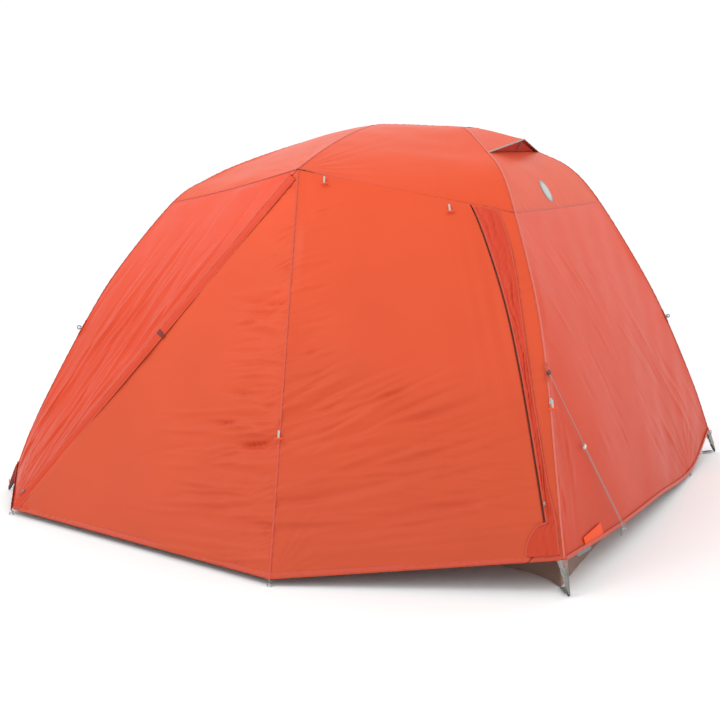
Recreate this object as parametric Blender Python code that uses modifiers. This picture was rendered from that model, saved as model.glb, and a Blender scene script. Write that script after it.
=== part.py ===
"""Family camping tent on poles.

Four corner legs rise to two hubs on a short ridge pole, and a brow pole crosses the ridge
at the middle. A red fly hangs over them, staked out at the front as a vestibule, and an
inner tent with a tray floor stands inside. Metres, +Z up, -Y is the front.
"""

from math import pi

import bmesh
import bpy
import numpy as np
from mathutils import Matrix, Vector

# Corner legs, from a foot up to the cap seam, as (sideways, along, height) in one quadrant.
FOOT = (1.400, 1.187, 0.0)
LEG_LOWER = (
    FOOT, (1.346, 1.127, 0.207), (1.289, 1.045, 0.415), (1.176, 0.871, 0.771), (1.070, 0.727, 1.037)
)
# The right-hand legs stand fuller at the top than the left-hand ones, which sag to a lower hub.
LEG_TOP_RIGHT = (
    (0.906, 0.557, 1.361), (0.800, 0.440, 1.515), (0.680, 0.311, 1.596),
    (0.485, 0.104, 1.699), (0.383, 0.0, 1.712),
)
LEG_TOP_LEFT = (
    (0.864, 0.548, 1.358), (0.735, 0.440, 1.468), (0.598, 0.311, 1.550),
    (0.410, 0.104, 1.640), (0.340, 0.0, 1.660),
)
CAP_HEIGHT = 1.358
HEM_HEIGHT = 0.12
VENT_HEIGHT = 1.598
TAB_HEIGHT = 0.765

# Ridge and brow.
PEAK = 1.729
BROW_REACH = 0.784
BROW_DROP = 0.292
BROW_POWER = 1.6

# Ground points.
STAKE_FRONT = (0.383, -1.631, 0.0)
STAKE_FRONT_LEFT = (-1.111, -1.458, 0.0)
STAKE_SIDE = (1.400, 0.653, 0.0)
STAKE_REAR = (0.0, 1.45, 0.0)
HEM_AT_STAKE = 0.022

# Right-hand door zip, as a share of the way from the front seam to the leg.
ZIP_SHARE_TOP = 0.79
ZIP_SHARE_GAIN = 0.165
ZIP_ROUND_FROM = 0.90
ZIP_ROUND = 8.3
# Rows of the vestibule's main face, from its top to its hem.
FACE_DROPS = np.concatenate([[0.007, 0.03], np.linspace(0.09, 0.995, 13)])

# Inner tent.
FLOOR_X = 1.30
FLOOR_Y = 1.00
TRAY_HEIGHT = 0.148
TRAY_CORNER_X = 1.345
TRAY_CORNER_Y = 1.115
INNER_LOWER = ((1.296, 0.996, 0.15), (1.235, 0.93, 0.45), (1.12, 0.80, 0.80))
INNER_RIGHT = INNER_LOWER + ((1.00, 0.66, 1.06), (0.82, 0.48, 1.33), (0.60, 0.25, 1.52), (0.36, 0.02, 1.62))
INNER_LEFT = INNER_LOWER + ((0.99, 0.66, 1.06), (0.78, 0.47, 1.31), (0.53, 0.25, 1.47), (0.31, 0.02, 1.57))
DOORWAY_HALF = 0.38
DOORWAY_LOW = 0.2
DOORWAY_TOP = 1.12
DOOR_ROLL_ENDS = ((-0.47, -1.0, 0.30), (-0.44, -0.79, 1.02))
DOOR_ROLL_RADIUS = 0.028

# Stock sizes.
CLOTH = 0.002
SEAM_GAP = 0.0045
POLE_RADIUS = 0.00475
POLE_INSET = 0.022
TIP_LENGTH = 0.05
TIP_RADIUS = 0.007
CORD_RADIUS = 0.00125
GAP = 0.0003
VENT_TIP = (0.723, 0.0, 1.655)
MIDDLE = np.array([0.0, 0.0, 0.4])
LEFT, RIGHT = -1, 1
FRONT, BACK = -1, 1

# Colours, linear.
FLY_RED = (0.80, 0.12, 0.045)
FLY_PINK = (0.84, 0.22, 0.14)
INNER_GREY = (0.62, 0.62, 0.60)
FLOOR_TAUPE = (0.22, 0.13, 0.10)
POLE_GREY = (0.42, 0.43, 0.45)
PLASTIC_DARK = (0.05, 0.05, 0.055)
WEBBING_GREY = (0.26, 0.26, 0.23)
CORD_GREY = (0.42, 0.42, 0.41)
TENSIONER_WHITE = (0.70, 0.69, 0.66)
BRIGHT_ORANGE = (0.85, 0.08, 0.01)


def clear_scene():
    for old in list(bpy.data.objects):
        bpy.data.objects.remove(old, do_unlink=True)


def new_collection(name):
    made = bpy.data.collections.new(name)
    bpy.context.scene.collection.children.link(made)
    return made


clear_scene()
TENT = new_collection("tent_on_poles")
CUTTERS = new_collection("cutters")


def finish(name, colour, roughness=0.6, metallic=0.0):
    """One Principled material."""
    made = bpy.data.materials.new(name)
    made.use_nodes = True
    shader = made.node_tree.nodes["Principled BSDF"]
    shader.inputs["Base Color"].default_value = (*colour, 1.0)
    shader.inputs["Roughness"].default_value = roughness
    shader.inputs["Metallic"].default_value = metallic
    return made


# ---------------------------------------------------------------- lines and surfaces


def unit(vector):
    return np.asarray(vector, float) / np.linalg.norm(vector)


def evenly(line, count=65):
    """The same line with its points at equal distances."""
    steps = np.linalg.norm(np.diff(line, axis=0), axis=1)
    run = np.concatenate([[0.0], np.cumsum(steps)])
    places = np.linspace(0.0, run[-1], count)
    return np.stack([np.interp(places, run, line[:, axis]) for axis in range(3)], axis=1)


def smooth(points, steps=24):
    """A Catmull-Rom curve through the points."""
    points = np.array(points, float)
    padded = np.vstack([2 * points[0] - points[1], points, 2 * points[-1] - points[-2]])
    t = np.linspace(0.0, 1.0, steps, endpoint=False)[:, None]
    pieces = []
    for a, b, c, d in zip(padded, padded[1:], padded[2:], padded[3:]):
        bend = (2 * a - 5 * b + 4 * c - d) * t**2 + (-a + 3 * b - 3 * c + d) * t**3
        pieces.append(0.5 * (2 * b + (c - a) * t + bend))
    return np.vstack([*pieces, points[-1:]])


def along(line, share):
    """Points at shares of an evenly spaced line's length."""
    share = np.asarray(share, float)
    marks = np.linspace(0.0, 1.0, len(line))
    return np.stack([np.interp(share, marks, line[:, axis]) for axis in range(3)], axis=-1)


def straight(start, end, sag=0.0):
    """A line between two points, lowered in the middle by sag."""
    t = np.linspace(0.0, 1.0, 65)[:, None]
    drop = np.array([0.0, 0.0, 4.0 * sag])
    return np.array(start) * (1 - t) + np.array(end) * t - drop * t * (1 - t)


def leg_line(side, end):
    """The fly's outer surface over one leg, foot first."""
    top = LEG_TOP_RIGHT if side == RIGHT else LEG_TOP_LEFT
    return smooth(LEG_LOWER + top) * np.array([side, end, 1.0])


def at_height(line, height):
    return np.array([np.interp(height, line[:, 2], line[:, axis]) for axis in range(3)])


def between(line, low, high):
    """The stretch of a rising line between two heights, low end first."""
    inside = line[(line[:, 2] > low) & (line[:, 2] < high)]
    return evenly(np.vstack([at_height(line, low), inside, at_height(line, high)]))


def hub_of(side):
    top = LEG_TOP_RIGHT if side == RIGHT else LEG_TOP_LEFT
    return np.array(top[-1]) * np.array([side, 1.0, 1.0])


def ridge_line(side):
    """From the peak down to one hub."""
    hub = hub_of(side)
    t = np.linspace(0.0, 1.0, 65)
    return np.stack([hub[0] * t, 0 * t, PEAK + (hub[2] - PEAK) * t**1.6], axis=1)


def brow_line(end):
    """From the peak out to the front or back tip of the brow."""
    y = np.linspace(0.0, BROW_REACH, 65)
    return evenly(np.stack([0 * y, end * y, PEAK - BROW_DROP * y**BROW_POWER], axis=1))


def brow_tip(end):
    return brow_line(end)[-1]


def cap_corner(side, end):
    return at_height(leg_line(side, end), CAP_HEIGHT)


def coons(bottom, top, left, right, u, v):
    """A patch over four edge lines: bottom and top run along u, left and right along v."""
    u, v = np.meshgrid(u, v)
    u3, v3 = u[..., None], v[..., None]
    across = (1 - v3) * along(bottom, u) + v3 * along(top, u)
    upward = (1 - u3) * along(left, v) + u3 * along(right, v)
    low = (1 - u3) * bottom[0] + u3 * bottom[-1]
    high = (1 - u3) * top[0] + u3 * top[-1]
    return across + upward - (1 - v3) * low - v3 * high


def inset_shares(first, second, count):
    """Even shares over two facing edges, drawn in from both ends by the seam gap."""
    length = (np.linalg.norm(np.diff(first, axis=0), axis=1).sum()
              + np.linalg.norm(np.diff(second, axis=0), axis=1).sum()) / 2
    edge = SEAM_GAP / length
    return np.linspace(edge, 1 - edge, count)


def patch(bottom, top, left, right, columns, rows):
    u = inset_shares(bottom, top, columns)
    v = inset_shares(left, right, rows)
    return coons(bottom, top, left, right, u, v)


# ---------------------------------------------------------------- making nodes


def put(name, mesh, material, place=None):
    mesh.materials.append(material)
    made = bpy.data.objects.new(name, mesh)
    if place is not None:
        made.matrix_world = place
    TENT.objects.link(made)
    return made


def sheet(name, grid, material, origin=(0, 0, 0), thickness=CLOTH, keep=None):
    """A sheet of cloth over a grid of points, thickened on its inner side."""
    rows, columns = grid.shape[:2]
    centre = grid[rows // 2, columns // 2]
    du = grid[rows // 2, columns // 2 + 1] - centre
    dv = grid[rows // 2 + 1, columns // 2] - centre
    if np.cross(du, dv) @ (centre - MIDDLE) < 0:
        grid = grid[:, ::-1]
        keep = None if keep is None else keep[:, ::-1]
    index = np.arange(rows * columns).reshape(rows, columns)
    quads = np.stack([index[:-1, :-1], index[:-1, 1:], index[1:, 1:], index[1:, :-1]], axis=-1)
    if keep is not None:
        quads = quads[keep]
    mesh = bpy.data.meshes.new(name)
    points = grid.reshape(-1, 3) - np.array(origin)
    mesh.from_pydata(points.tolist(), [], quads.reshape(-1, 4).tolist())
    shape = bmesh.new()
    shape.from_mesh(mesh)
    loose = [vertex for vertex in shape.verts if not vertex.link_faces]
    bmesh.ops.delete(shape, geom=loose, context="VERTS")
    shape.to_mesh(mesh)
    shape.free()
    mesh.shade_smooth()
    made = put(name, mesh, material, Matrix.Translation(Vector(origin)))
    wall = made.modifiers.new("cloth", "SOLIDIFY")
    wall.thickness = thickness
    wall.offset = -1.0
    return made


def tube(name, line, radius, material, origin=(0, 0, 0)):
    """A round rod or cord along a line."""
    curve = bpy.data.curves.new(name, "CURVE")
    curve.dimensions = "3D"
    curve.bevel_depth = radius
    curve.bevel_resolution = 2
    curve.use_fill_caps = True
    run = curve.splines.new("POLY")
    run.points.add(len(line) - 1)
    for point, place in zip(run.points, np.asarray(line) - np.array(origin)):
        point.co = (*place, 1.0)
    run.use_smooth = True
    curve.materials.append(material)
    made = bpy.data.objects.new(name, curve)
    made.location = origin
    TENT.objects.link(made)
    return made


def turned(name, profile, material, place, steps=14):
    """A turned piece: its profile of (radius, height) runs from the top to the bottom."""
    mesh = bpy.data.meshes.new(name)
    points = [(radius, 0.0, height) for radius, height in profile]
    mesh.from_pydata(points, [(i, i + 1) for i in range(len(points) - 1)], [])
    made = put(name, mesh, material, place)
    spin = made.modifiers.new("turn", "SCREW")
    spin.steps = spin.render_steps = steps
    spin.use_merge_vertices = True
    spin.merge_threshold = 0.00005
    spin.use_smooth_shade = False
    return made


def box(name, size, place, material, bevel=0.0):
    shape = bmesh.new()
    bmesh.ops.create_cube(shape, size=1.0)
    bmesh.ops.scale(shape, vec=size, verts=shape.verts)
    mesh = bpy.data.meshes.new(name)
    shape.to_mesh(mesh)
    shape.free()
    made = put(name, mesh, material, place)
    if bevel:
        edge = made.modifiers.new("edge", "BEVEL")
        edge.width = bevel
        edge.segments = 1
    return made


def frame_at(place, x, z):
    """A matrix at a place, its Z along z and its X as near to x as can be."""
    z = Vector(unit(z))
    x = Vector(x)
    x = (x - z * x.dot(z)).normalized()
    turn = Matrix((x, z.cross(x), z)).transposed()
    return Matrix.Translation(Vector(place)) @ turn.to_4x4()


def rod_shape(radius, length, segments=10):
    """A closed cylinder mesh along Z, centred."""
    shape = bmesh.new()
    bmesh.ops.create_cone(
        shape, cap_ends=True, segments=segments, radius1=radius, radius2=radius, depth=length
    )
    mesh = bpy.data.meshes.new("rod")
    shape.to_mesh(mesh)
    shape.free()
    return mesh


def helper(mesh, place):
    """A hidden shape for a Boolean."""
    made = bpy.data.objects.new("helper", mesh)
    made.matrix_world = place
    made.hide_render = True
    made.display_type = "WIRE"
    CUTTERS.objects.link(made)
    return made


def combine(target, other, operation):
    step = target.modifiers.new("shape", "BOOLEAN")
    step.operation = operation
    step.object = other


# ---------------------------------------------------------------- the fly

fly = finish("fly_red", FLY_RED, 0.55)
fly_light = finish("fly_light", FLY_PINK, 0.55)


def roof_front_or_back(side, end):
    """Between the ridge, one leg, the cap seam and the brow."""
    ridge = ridge_line(side)
    seam = straight(brow_tip(end), cap_corner(side, end), 0.009)
    leg = between(leg_line(side, end), CAP_HEIGHT, PEAK)[::-1]
    return patch(ridge, seam, brow_line(end), leg, 8, 9)


def roof_side(side, top):
    """Below a height on the two legs of one side, down to the side seam."""
    legs = [between(leg_line(side, end), CAP_HEIGHT, top)[::-1] for end in (FRONT, BACK)]
    upper = straight(legs[0][0], legs[1][0])
    lower = straight(legs[0][-1], legs[1][-1], 0.004)
    return patch(upper, lower, legs[0], legs[1], 9, 6)


def side_hem(side):
    """The hem between the corners, drawn down to the side stake."""
    corner = at_height(leg_line(RIGHT, FRONT), HEM_HEIGHT)
    staked = (STAKE_SIDE[0], STAKE_SIDE[1], HEM_AT_STAKE)
    run = (corner, (1.405, -0.607, 0.095), (1.412, 0.0, 0.068), staked, corner * (1, -1, 1))
    return evenly(smooth(run)) * np.array([side, 1.0, 1.0])


def wall_side(side):
    legs = [between(leg_line(side, end), HEM_HEIGHT, CAP_HEIGHT)[::-1] for end in (FRONT, BACK)]
    seam = straight(legs[0][0], legs[1][0], 0.004)
    return patch(seam, side_hem(side), legs[0], legs[1], 13, 13)


def hem_point(stake):
    return np.array([stake[0], stake[1], HEM_AT_STAKE])


def front_face(share, drop):
    """The vestibule's main face: share runs from its seam to the leg, drop from top to hem."""
    share, drop = np.asarray(share, float)[..., None], np.asarray(drop, float)
    leg = between(leg_line(RIGHT, FRONT), HEM_HEIGHT, CAP_HEIGHT)[::-1]
    tip = brow_tip(FRONT)
    seam = tip + (hem_point(STAKE_FRONT) - tip) * drop[..., None]
    return (1 - share) * seam + share * along(leg, drop)


def zip_share(drop):
    """Where the right-hand zip lies on the main face, with its rounded foot."""
    past = np.maximum(0.0, drop - ZIP_ROUND_FROM)
    return ZIP_SHARE_TOP + ZIP_SHARE_GAIN * drop**0.6 - ZIP_ROUND * past**2


def left_zip(drop):
    tip = brow_tip(FRONT)
    return tip + (hem_point(STAKE_FRONT_LEFT) - tip) * np.asarray(drop, float)[..., None]


def face_width(drop):
    return np.linalg.norm(front_face(0.0, drop) - front_face(1.0, drop), axis=-1)


def door_grid():
    """The left triangle and the main face, which meet at the front seam."""
    drop = FACE_DROPS
    width = np.linalg.norm(left_zip(drop) - front_face(0.0, drop), axis=-1)
    side = np.linspace(1.0, 0.0, 7)[None, :-1] * (1 - SEAM_GAP / width)[:, None]
    side = side[..., None]
    triangle = left_zip(drop)[:, None] * side + front_face(0.0, drop)[:, None] * (1 - side)
    last = zip_share(drop) - SEAM_GAP / face_width(drop)
    share = np.linspace(0.0, 1.0, 9)[None] * last[:, None]
    return np.concatenate([triangle, front_face(share, np.repeat(drop[:, None], 9, axis=1))], axis=1)


def strip_grid():
    """Between the right-hand zip and the leg."""
    drop = FACE_DROPS
    first = zip_share(drop) + SEAM_GAP / face_width(drop)
    last = 1 - SEAM_GAP / face_width(drop)
    share = first[:, None] + np.linspace(0.0, 1.0, 4)[None] * (last - first)[:, None]
    return front_face(share, np.repeat(drop[:, None], 4, axis=1))


def vestibule_left_grid():
    tip = brow_tip(FRONT)
    leg = between(leg_line(LEFT, FRONT), HEM_HEIGHT, CAP_HEIGHT)[::-1]
    seam = straight(tip, leg[0], 0.009)
    foot = hem_point(STAKE_FRONT_LEFT)
    return patch(seam, straight(foot, leg[-1]), straight(tip, foot), leg, 9, 13)


def rear_grid(side):
    tip = brow_tip(BACK)
    leg = between(leg_line(side, BACK), HEM_HEIGHT, CAP_HEIGHT)[::-1]
    seam = straight(tip, leg[0], 0.009)
    foot = hem_point(STAKE_REAR)
    return patch(seam, straight(foot, leg[-1]), straight(tip, foot), leg, 9, 13)


def vent_hood_grid():
    """The top triangle of the right-hand roof, its lower edge held up in a point."""
    top = hub_of(RIGHT)[2] - 0.004
    legs = [between(leg_line(RIGHT, end), VENT_HEIGHT, top)[::-1] for end in (FRONT, BACK)]
    upper = straight(legs[0][0], legs[1][0])
    lower = evenly(np.vstack([legs[0][-1], VENT_TIP, legs[1][-1]]))
    return patch(upper, lower, legs[0], legs[1], 9, 5)


DOOR_PIVOT = brow_tip(FRONT)

for side, hand in ((LEFT, "left"), (RIGHT, "right")):
    sheet(f"roof_front_{hand}", roof_front_or_back(side, FRONT), fly)
    sheet(f"roof_back_{hand}", roof_front_or_back(side, BACK), fly)
    sheet(f"wall_{hand}", wall_side(side), fly_light)
    sheet(f"rear_{hand}", rear_grid(side), fly)
sheet("roof_left", roof_side(LEFT, hub_of(LEFT)[2] - 0.004), fly)
sheet("roof_right", roof_side(RIGHT, VENT_HEIGHT), fly)
sheet("vent_hood", vent_hood_grid(), fly)
sheet("vestibule_left", vestibule_left_grid(), fly_light)
sheet("vestibule_right", strip_grid(), fly)
sheet("vestibule_door", door_grid(), fly, origin=DOOR_PIVOT)

# ---------------------------------------------------------------- the poles

alloy = finish("pole_alloy", POLE_GREY, 0.35, 0.9)
dark = finish("dark_plastic", PLASTIC_DARK, 0.5)


def ease(value):
    value = np.clip(value, 0.0, 1.0)
    return value * value * (3 - 2 * value)


def pole_line(side, end):
    """The leg's own line: inside the fly, and running out to the tip at the ground."""
    line = leg_line(side, end)
    inward = MIDDLE - line
    inward = inward / np.linalg.norm(inward, axis=1)[:, None]
    return line + inward * (POLE_INSET * ease(line[:, 2] / HEM_HEIGHT))[:, None]


def hub_centre(side):
    return pole_line(side, FRONT)[-1]


def cut_ends(line, start, end):
    """The line without its first and last stretch, each a length."""
    run = np.concatenate([[0.0], np.cumsum(np.linalg.norm(np.diff(line, axis=0), axis=1))])
    return evenly(along(evenly(line, 200), np.linspace(start / run[-1], 1 - end / run[-1], 200)))


HUB_RADIUS = 0.023
HUB_RIM = 0.018
HUB_HALF = 0.011
HUB_PROFILE = (
    (0.0, HUB_HALF), (HUB_RIM, HUB_HALF), (HUB_RADIUS, 0.006),
    (HUB_RADIUS, -0.008), (HUB_RIM, -HUB_HALF), (0.0, -HUB_HALF),
)
HUB_CLEAR = 0.005
RIDGE_CUT = 0.036
RIDGE_INSET = 0.025
BROW_CUT = 0.012
BROW_INSET = 0.011
LEAN_HEIGHT = 0.1
TIP_LIFT = 0.003
TIP_PROFILE = ((0.0, TIP_LENGTH), (TIP_RADIUS, TIP_LENGTH), (TIP_RADIUS, 0.012), (0.004, 0.0), (0.0, 0.0))

for side, hand in ((LEFT, "left"), (RIGHT, "right")):
    for end, where in ((FRONT, "front"), (BACK, "back")):
        line = pole_line(side, end)
        tip = np.array([side * FOOT[0], end * FOOT[1], TIP_LIFT])
        lean = unit(at_height(line, LEAN_HEIGHT) - tip)
        start = tip + lean * (TIP_LENGTH + GAP)
        rest = between(line, LEAN_HEIGHT, line[-1, 2])
        leg = cut_ends(np.vstack([start, rest]), 0.0, HUB_RADIUS + HUB_CLEAR)
        tube(f"leg_pole_{where}_{hand}", evenly(leg, 20), POLE_RADIUS, alloy)
        turned(f"pole_tip_{where}_{hand}", TIP_PROFILE, dark, frame_at(tip, (1, 0, 0), lean), 10)
    turned(f"ridge_hub_{hand}", HUB_PROFILE, dark, Matrix.Translation(Vector(hub_centre(side))))

ridge = np.vstack([ridge_line(LEFT)[::-1], ridge_line(RIGHT)[1:]])
ridge_inset = RIDGE_INSET + (POLE_INSET - RIDGE_INSET) * (ridge[:, :1] / LEG_TOP_RIGHT[-1][0]) ** 2
ridge = ridge - np.array([0.0, 0.0, 1.0]) * ridge_inset
tube("ridge_pole", evenly(cut_ends(ridge, RIDGE_CUT, RIDGE_CUT), 11), POLE_RADIUS, alloy)
brow = np.vstack([brow_line(FRONT)[::-1], brow_line(BACK)[1:]]) - np.array([0.0, 0.0, BROW_INSET])
tube("brow_pole", evenly(cut_ends(brow, BROW_CUT, BROW_CUT), 19), POLE_RADIUS, alloy)

BROW_HUB_TOP, BROW_HUB_BOTTOM, BROW_HUB_WIDTH = PEAK - 0.0045, PEAK - 0.034, 0.024
BORE_CLEAR = 0.0016
brow_hub_size = (BROW_HUB_WIDTH, BROW_HUB_WIDTH, BROW_HUB_TOP - BROW_HUB_BOTTOM)
brow_hub_place = Matrix.Translation((0, 0, (BROW_HUB_TOP + BROW_HUB_BOTTOM) / 2))
brow_hub = box("brow_hub", brow_hub_size, brow_hub_place, dark)
for axis, height in (((1, 0, 0), PEAK - RIDGE_INSET), ((0, 1, 0), PEAK - BROW_INSET)):
    bore = helper(rod_shape(POLE_RADIUS + BORE_CLEAR, 0.1, 12), frame_at((0, 0, height), (0, 0, 1), axis))
    combine(brow_hub, bore, "DIFFERENCE")

# ---------------------------------------------------------------- the inner tent

inner = finish("inner_cloth", INNER_GREY, 0.8)
floor = finish("floor_cloth", FLOOR_TAUPE, 0.6)
TRAY_TOP_INSET = 0.004


def tray_outline(height, corner_x, corner_y):
    """The tray's outline, its sides drawn out to the corners in long curves."""
    y = np.linspace(-1.0, 1.0, 11)[:-1]
    x = np.linspace(1.0, -1.0, 15)[:-1]
    side = np.stack([FLOOR_X + (corner_x - FLOOR_X) * y**2, corner_y * y], axis=1)
    back = np.stack([corner_x * x, FLOOR_Y + (corner_y - FLOOR_Y) * x**12], axis=1)
    ring = np.vstack([side, back, -side, -back])
    return np.column_stack([ring, np.full(len(ring), height)])


TRAY_TOP = (TRAY_HEIGHT, FLOOR_X - TRAY_TOP_INSET, FLOOR_Y - TRAY_TOP_INSET)
tray_shape = bmesh.new()
low_ring = [tray_shape.verts.new(point) for point in tray_outline(0.0, TRAY_CORNER_X, TRAY_CORNER_Y)]
top_ring = [tray_shape.verts.new(point) for point in tray_outline(*TRAY_TOP)]
count = len(low_ring)
tray_shape.faces.new(low_ring[::-1])
for i in range(count):
    tray_shape.faces.new((low_ring[i], low_ring[(i + 1) % count], top_ring[(i + 1) % count], top_ring[i]))
tray_mesh = bpy.data.meshes.new("floor_tray")
tray_shape.to_mesh(tray_mesh)
tray_shape.free()
tray = put("floor_tray", tray_mesh, floor)
tray_wall = tray.modifiers.new("cloth", "SOLIDIFY")
tray_wall.thickness = CLOTH
tray_wall.offset = -1.0


def inner_corner(side, end):
    points = INNER_RIGHT if side == RIGHT else INNER_LEFT
    return evenly(smooth(points) * np.array([side, end, 1.0]))


def inner_wall(first, second, columns, rows):
    """A ruled sheet between two corner seams."""
    return patch(straight(first[0], second[0]), straight(first[-1], second[-1]), first, second, columns, rows)


for end, where in ((FRONT, "front"), (BACK, "back")):
    grid = inner_wall(inner_corner(LEFT, end), inner_corner(RIGHT, end), 15, 12)
    middle = (grid[:-1, :-1] + grid[1:, 1:]) / 2
    doorway = (abs(middle[..., 0]) < DOORWAY_HALF) & (middle[..., 2] < DOORWAY_TOP)
    doorway = doorway & (middle[..., 2] > DOORWAY_LOW)
    sheet(f"inner_{where}", grid, inner, keep=~doorway if end == FRONT else None)
for side, hand in ((LEFT, "left"), (RIGHT, "right")):
    sheet(f"inner_{hand}", inner_wall(inner_corner(side, FRONT), inner_corner(side, BACK), 5, 12), inner)
roll = straight(*DOOR_ROLL_ENDS, -0.01)
tube("inner_door_roll", evenly(roll, 6), DOOR_ROLL_RADIUS, inner)

# ---------------------------------------------------------------- zips

zip_cloth = finish("zip_dark", PLASTIC_DARK, 0.6)
slider_metal = finish("slider_metal", POLE_GREY, 0.4, 0.8)
ZIP_RADIUS = 0.0022
outward = unit(np.cross(left_zip(1.0) - left_zip(0.0), front_face(0.0, 1.0) - left_zip(1.0)))
outward = outward if outward[1] < 0 else -outward
tube("left_zip_chain", left_zip(np.linspace(0.02, 0.985, 8)), ZIP_RADIUS, zip_cloth)
tube("right_zip_chain", front_face(zip_share(FACE_DROPS[1:]), FACE_DROPS[1:]), ZIP_RADIUS, zip_cloth)


def zip_slider(name, low, high, normal, aside):
    """A slider body outside the cloth, with its pull, at the low end of its run."""
    run = unit(high - low)
    place = frame_at(low + normal * 0.012 + aside, normal, run)
    return box(name, (0.007, 0.008, 0.034), place, slider_metal, 0.0015)


left_low, left_high = left_zip(0.95), left_zip(0.15)
left_aside = unit(left_zip(1.0) - front_face(0.0, 1.0)) * 0.006
zip_slider("left_zip_slider", left_low, left_high, outward, left_aside)
right_low, right_high = front_face(zip_share(0.86), 0.86), front_face(zip_share(0.5), 0.5)
face_normal = unit(np.cross(right_high - right_low, front_face(0.0, 0.7) - front_face(1.0, 0.7)))
face_normal = face_normal if face_normal[1] < 0 else -face_normal
right_aside = unit(front_face(1.0, 0.7) - front_face(0.5, 0.7)) * 0.010
zip_slider("right_zip_slider", right_low, right_high, face_normal, right_aside)

# ---------------------------------------------------------------- toggles, tabs and stakes

orange = finish("orange_plastic", BRIGHT_ORANGE, 0.45)
white_plastic = finish("white_plastic", TENSIONER_WHITE, 0.45)
cord_cloth = finish("cord_grey", CORD_GREY, 0.8)
webbing = finish("webbing_grey", WEBBING_GREY, 0.8)
TOGGLE_NECK = 0.026
TOGGLE_BAR = 0.034


def toggle(name, anchor, hang, across):
    """A short cord with a bar across its end, hinged where the cord leaves the cloth."""
    place = frame_at(anchor, across, -np.array(hang))
    bar_turn = Matrix.Rotation(pi / 2, 4, "Y")
    bar = put(name, rod_shape(0.004, TOGGLE_BAR, 8), orange, place)
    bar.data.transform(Matrix.Translation((0, 0, -TOGGLE_NECK)) @ bar_turn)
    neck = rod_shape(0.0014, TOGGLE_NECK, 6)
    combine(bar, helper(neck, place @ Matrix.Translation((0, 0, -TOGGLE_NECK / 2))), "UNION")
    return bar


def on_face(share, drop, lift):
    return front_face(share, drop) + FACE_OUT * lift


seam_run = front_face(0.0, 1.0) - front_face(0.0, 0.0)
FACE_OUT = unit(np.cross(seam_run, front_face(1.0, 0.5) - front_face(0.0, 0.5)))
FACE_OUT = FACE_OUT if FACE_OUT[1] < 0 else -FACE_OUT
SEAM_ALONG = unit(front_face(0.75, 0.0) - front_face(0.0, 0.0))
TOGGLES = {
    "toggle_top_left": (0.127, 0.018),
    "toggle_top_right": (0.700, 0.030),
    "toggle_seam": (0.0, 0.675),
}
for name, (share, drop) in TOGGLES.items():
    down = front_face(share, drop + 0.05) - front_face(share, drop)
    lift = 0.012 if share else 0.016
    toggle(name, on_face(share, drop, lift), unit(down), SEAM_ALONG)
front_right = leg_line(RIGHT, FRONT)
side_at = at_height(front_right, 0.66)
side_out = unit(side_at - MIDDLE * np.array([1, 1, 1.2]))
side_down = unit(at_height(front_right, 0.60) - at_height(front_right, 0.66))
toggle("toggle_side", side_at + side_out * 0.016, side_down, (1.0, 0.3, 0.0))

RING, RING_WIRE, RING_STAND = 0.0085, 0.002, 0.004
for side, hand in ((LEFT, "left"), (RIGHT, "right")):
    for end, where in ((FRONT, "front"), (BACK, "back")):
        line = leg_line(side, end)
        here = at_height(line, TAB_HEIGHT)
        out = unit(here * np.array([1.0, 1.0, 0.0]))
        rise = unit(at_height(line, TAB_HEIGHT + 0.05) - here)
        ring_mesh = bmesh.new()
        bmesh.ops.create_circle(ring_mesh, segments=6, radius=RING_WIRE)
        bmesh.ops.rotate(ring_mesh, matrix=Matrix.Rotation(pi / 2, 3, "X"), verts=ring_mesh.verts)
        bmesh.ops.translate(ring_mesh, vec=(RING, 0, 0), verts=ring_mesh.verts)
        wire = bpy.data.meshes.new("ring")
        ring_mesh.to_mesh(wire)
        ring_mesh.free()
        ring_place = frame_at(here + out * (RING + RING_WIRE + RING_STAND), out, np.cross(out, rise))
        ring = put(f"guy_tab_{where}_{hand}", wire, dark, ring_place)
        spin = ring.modifiers.new("turn", "SCREW")
        spin.steps = spin.render_steps = 12
        spin.use_merge_vertices = True
        spin.merge_threshold = 0.00005


STAKE_HEAD_RADIUS, STAKE_HEAD_HEIGHT, STAKE_WIRE = 0.009, 0.011, 0.0022


def stake_head(name, place, across):
    """The part of a bent wire stake that stands above the ground."""
    turn = np.linspace(0, pi, 7)
    wide = np.outer(np.cos(turn), unit(across)) * STAKE_HEAD_RADIUS
    arch = np.array(place) + wide + np.outer(np.sin(turn), (0, 0, STAKE_HEAD_HEIGHT))
    return tube(name, arch, STAKE_WIRE, alloy)


stake_head("stake_front", STAKE_FRONT, (1, 0.1, 0))
stake_head("stake_front_left", STAKE_FRONT_LEFT, (1, 0.3, 0))
stake_head("stake_right", STAKE_SIDE, (0, 1, 0))
stake_head("stake_left", np.array(STAKE_SIDE) * (-1, 1, 1), (0, 1, 0))
stake_head("stake_rear", STAKE_REAR, (1, 0, 0))

STRAP_WIDTH, STRAP_THICK = 0.025, 0.003
for side, hand in ((LEFT, "left"), (RIGHT, "right")):
    for end, where in ((FRONT, "front"), (BACK, "back")):
        corner = np.array([side * TRAY_CORNER_X, end * TRAY_CORNER_Y, 0.0])
        foot = np.array([side * FOOT[0], end * FOOT[1], 0.0])
        run = foot - corner
        length = np.linalg.norm(run) - TIP_RADIUS - 0.016
        middle = corner + unit(run) * (0.011 + length / 2) + np.array([0, 0, 0.006])
        place = frame_at(middle, run, (0, 0, 1))
        box(f"corner_webbing_{where}_{hand}", (length, STRAP_WIDTH, STRAP_THICK), place, webbing)

# ---------------------------------------------------------------- guy line

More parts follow.
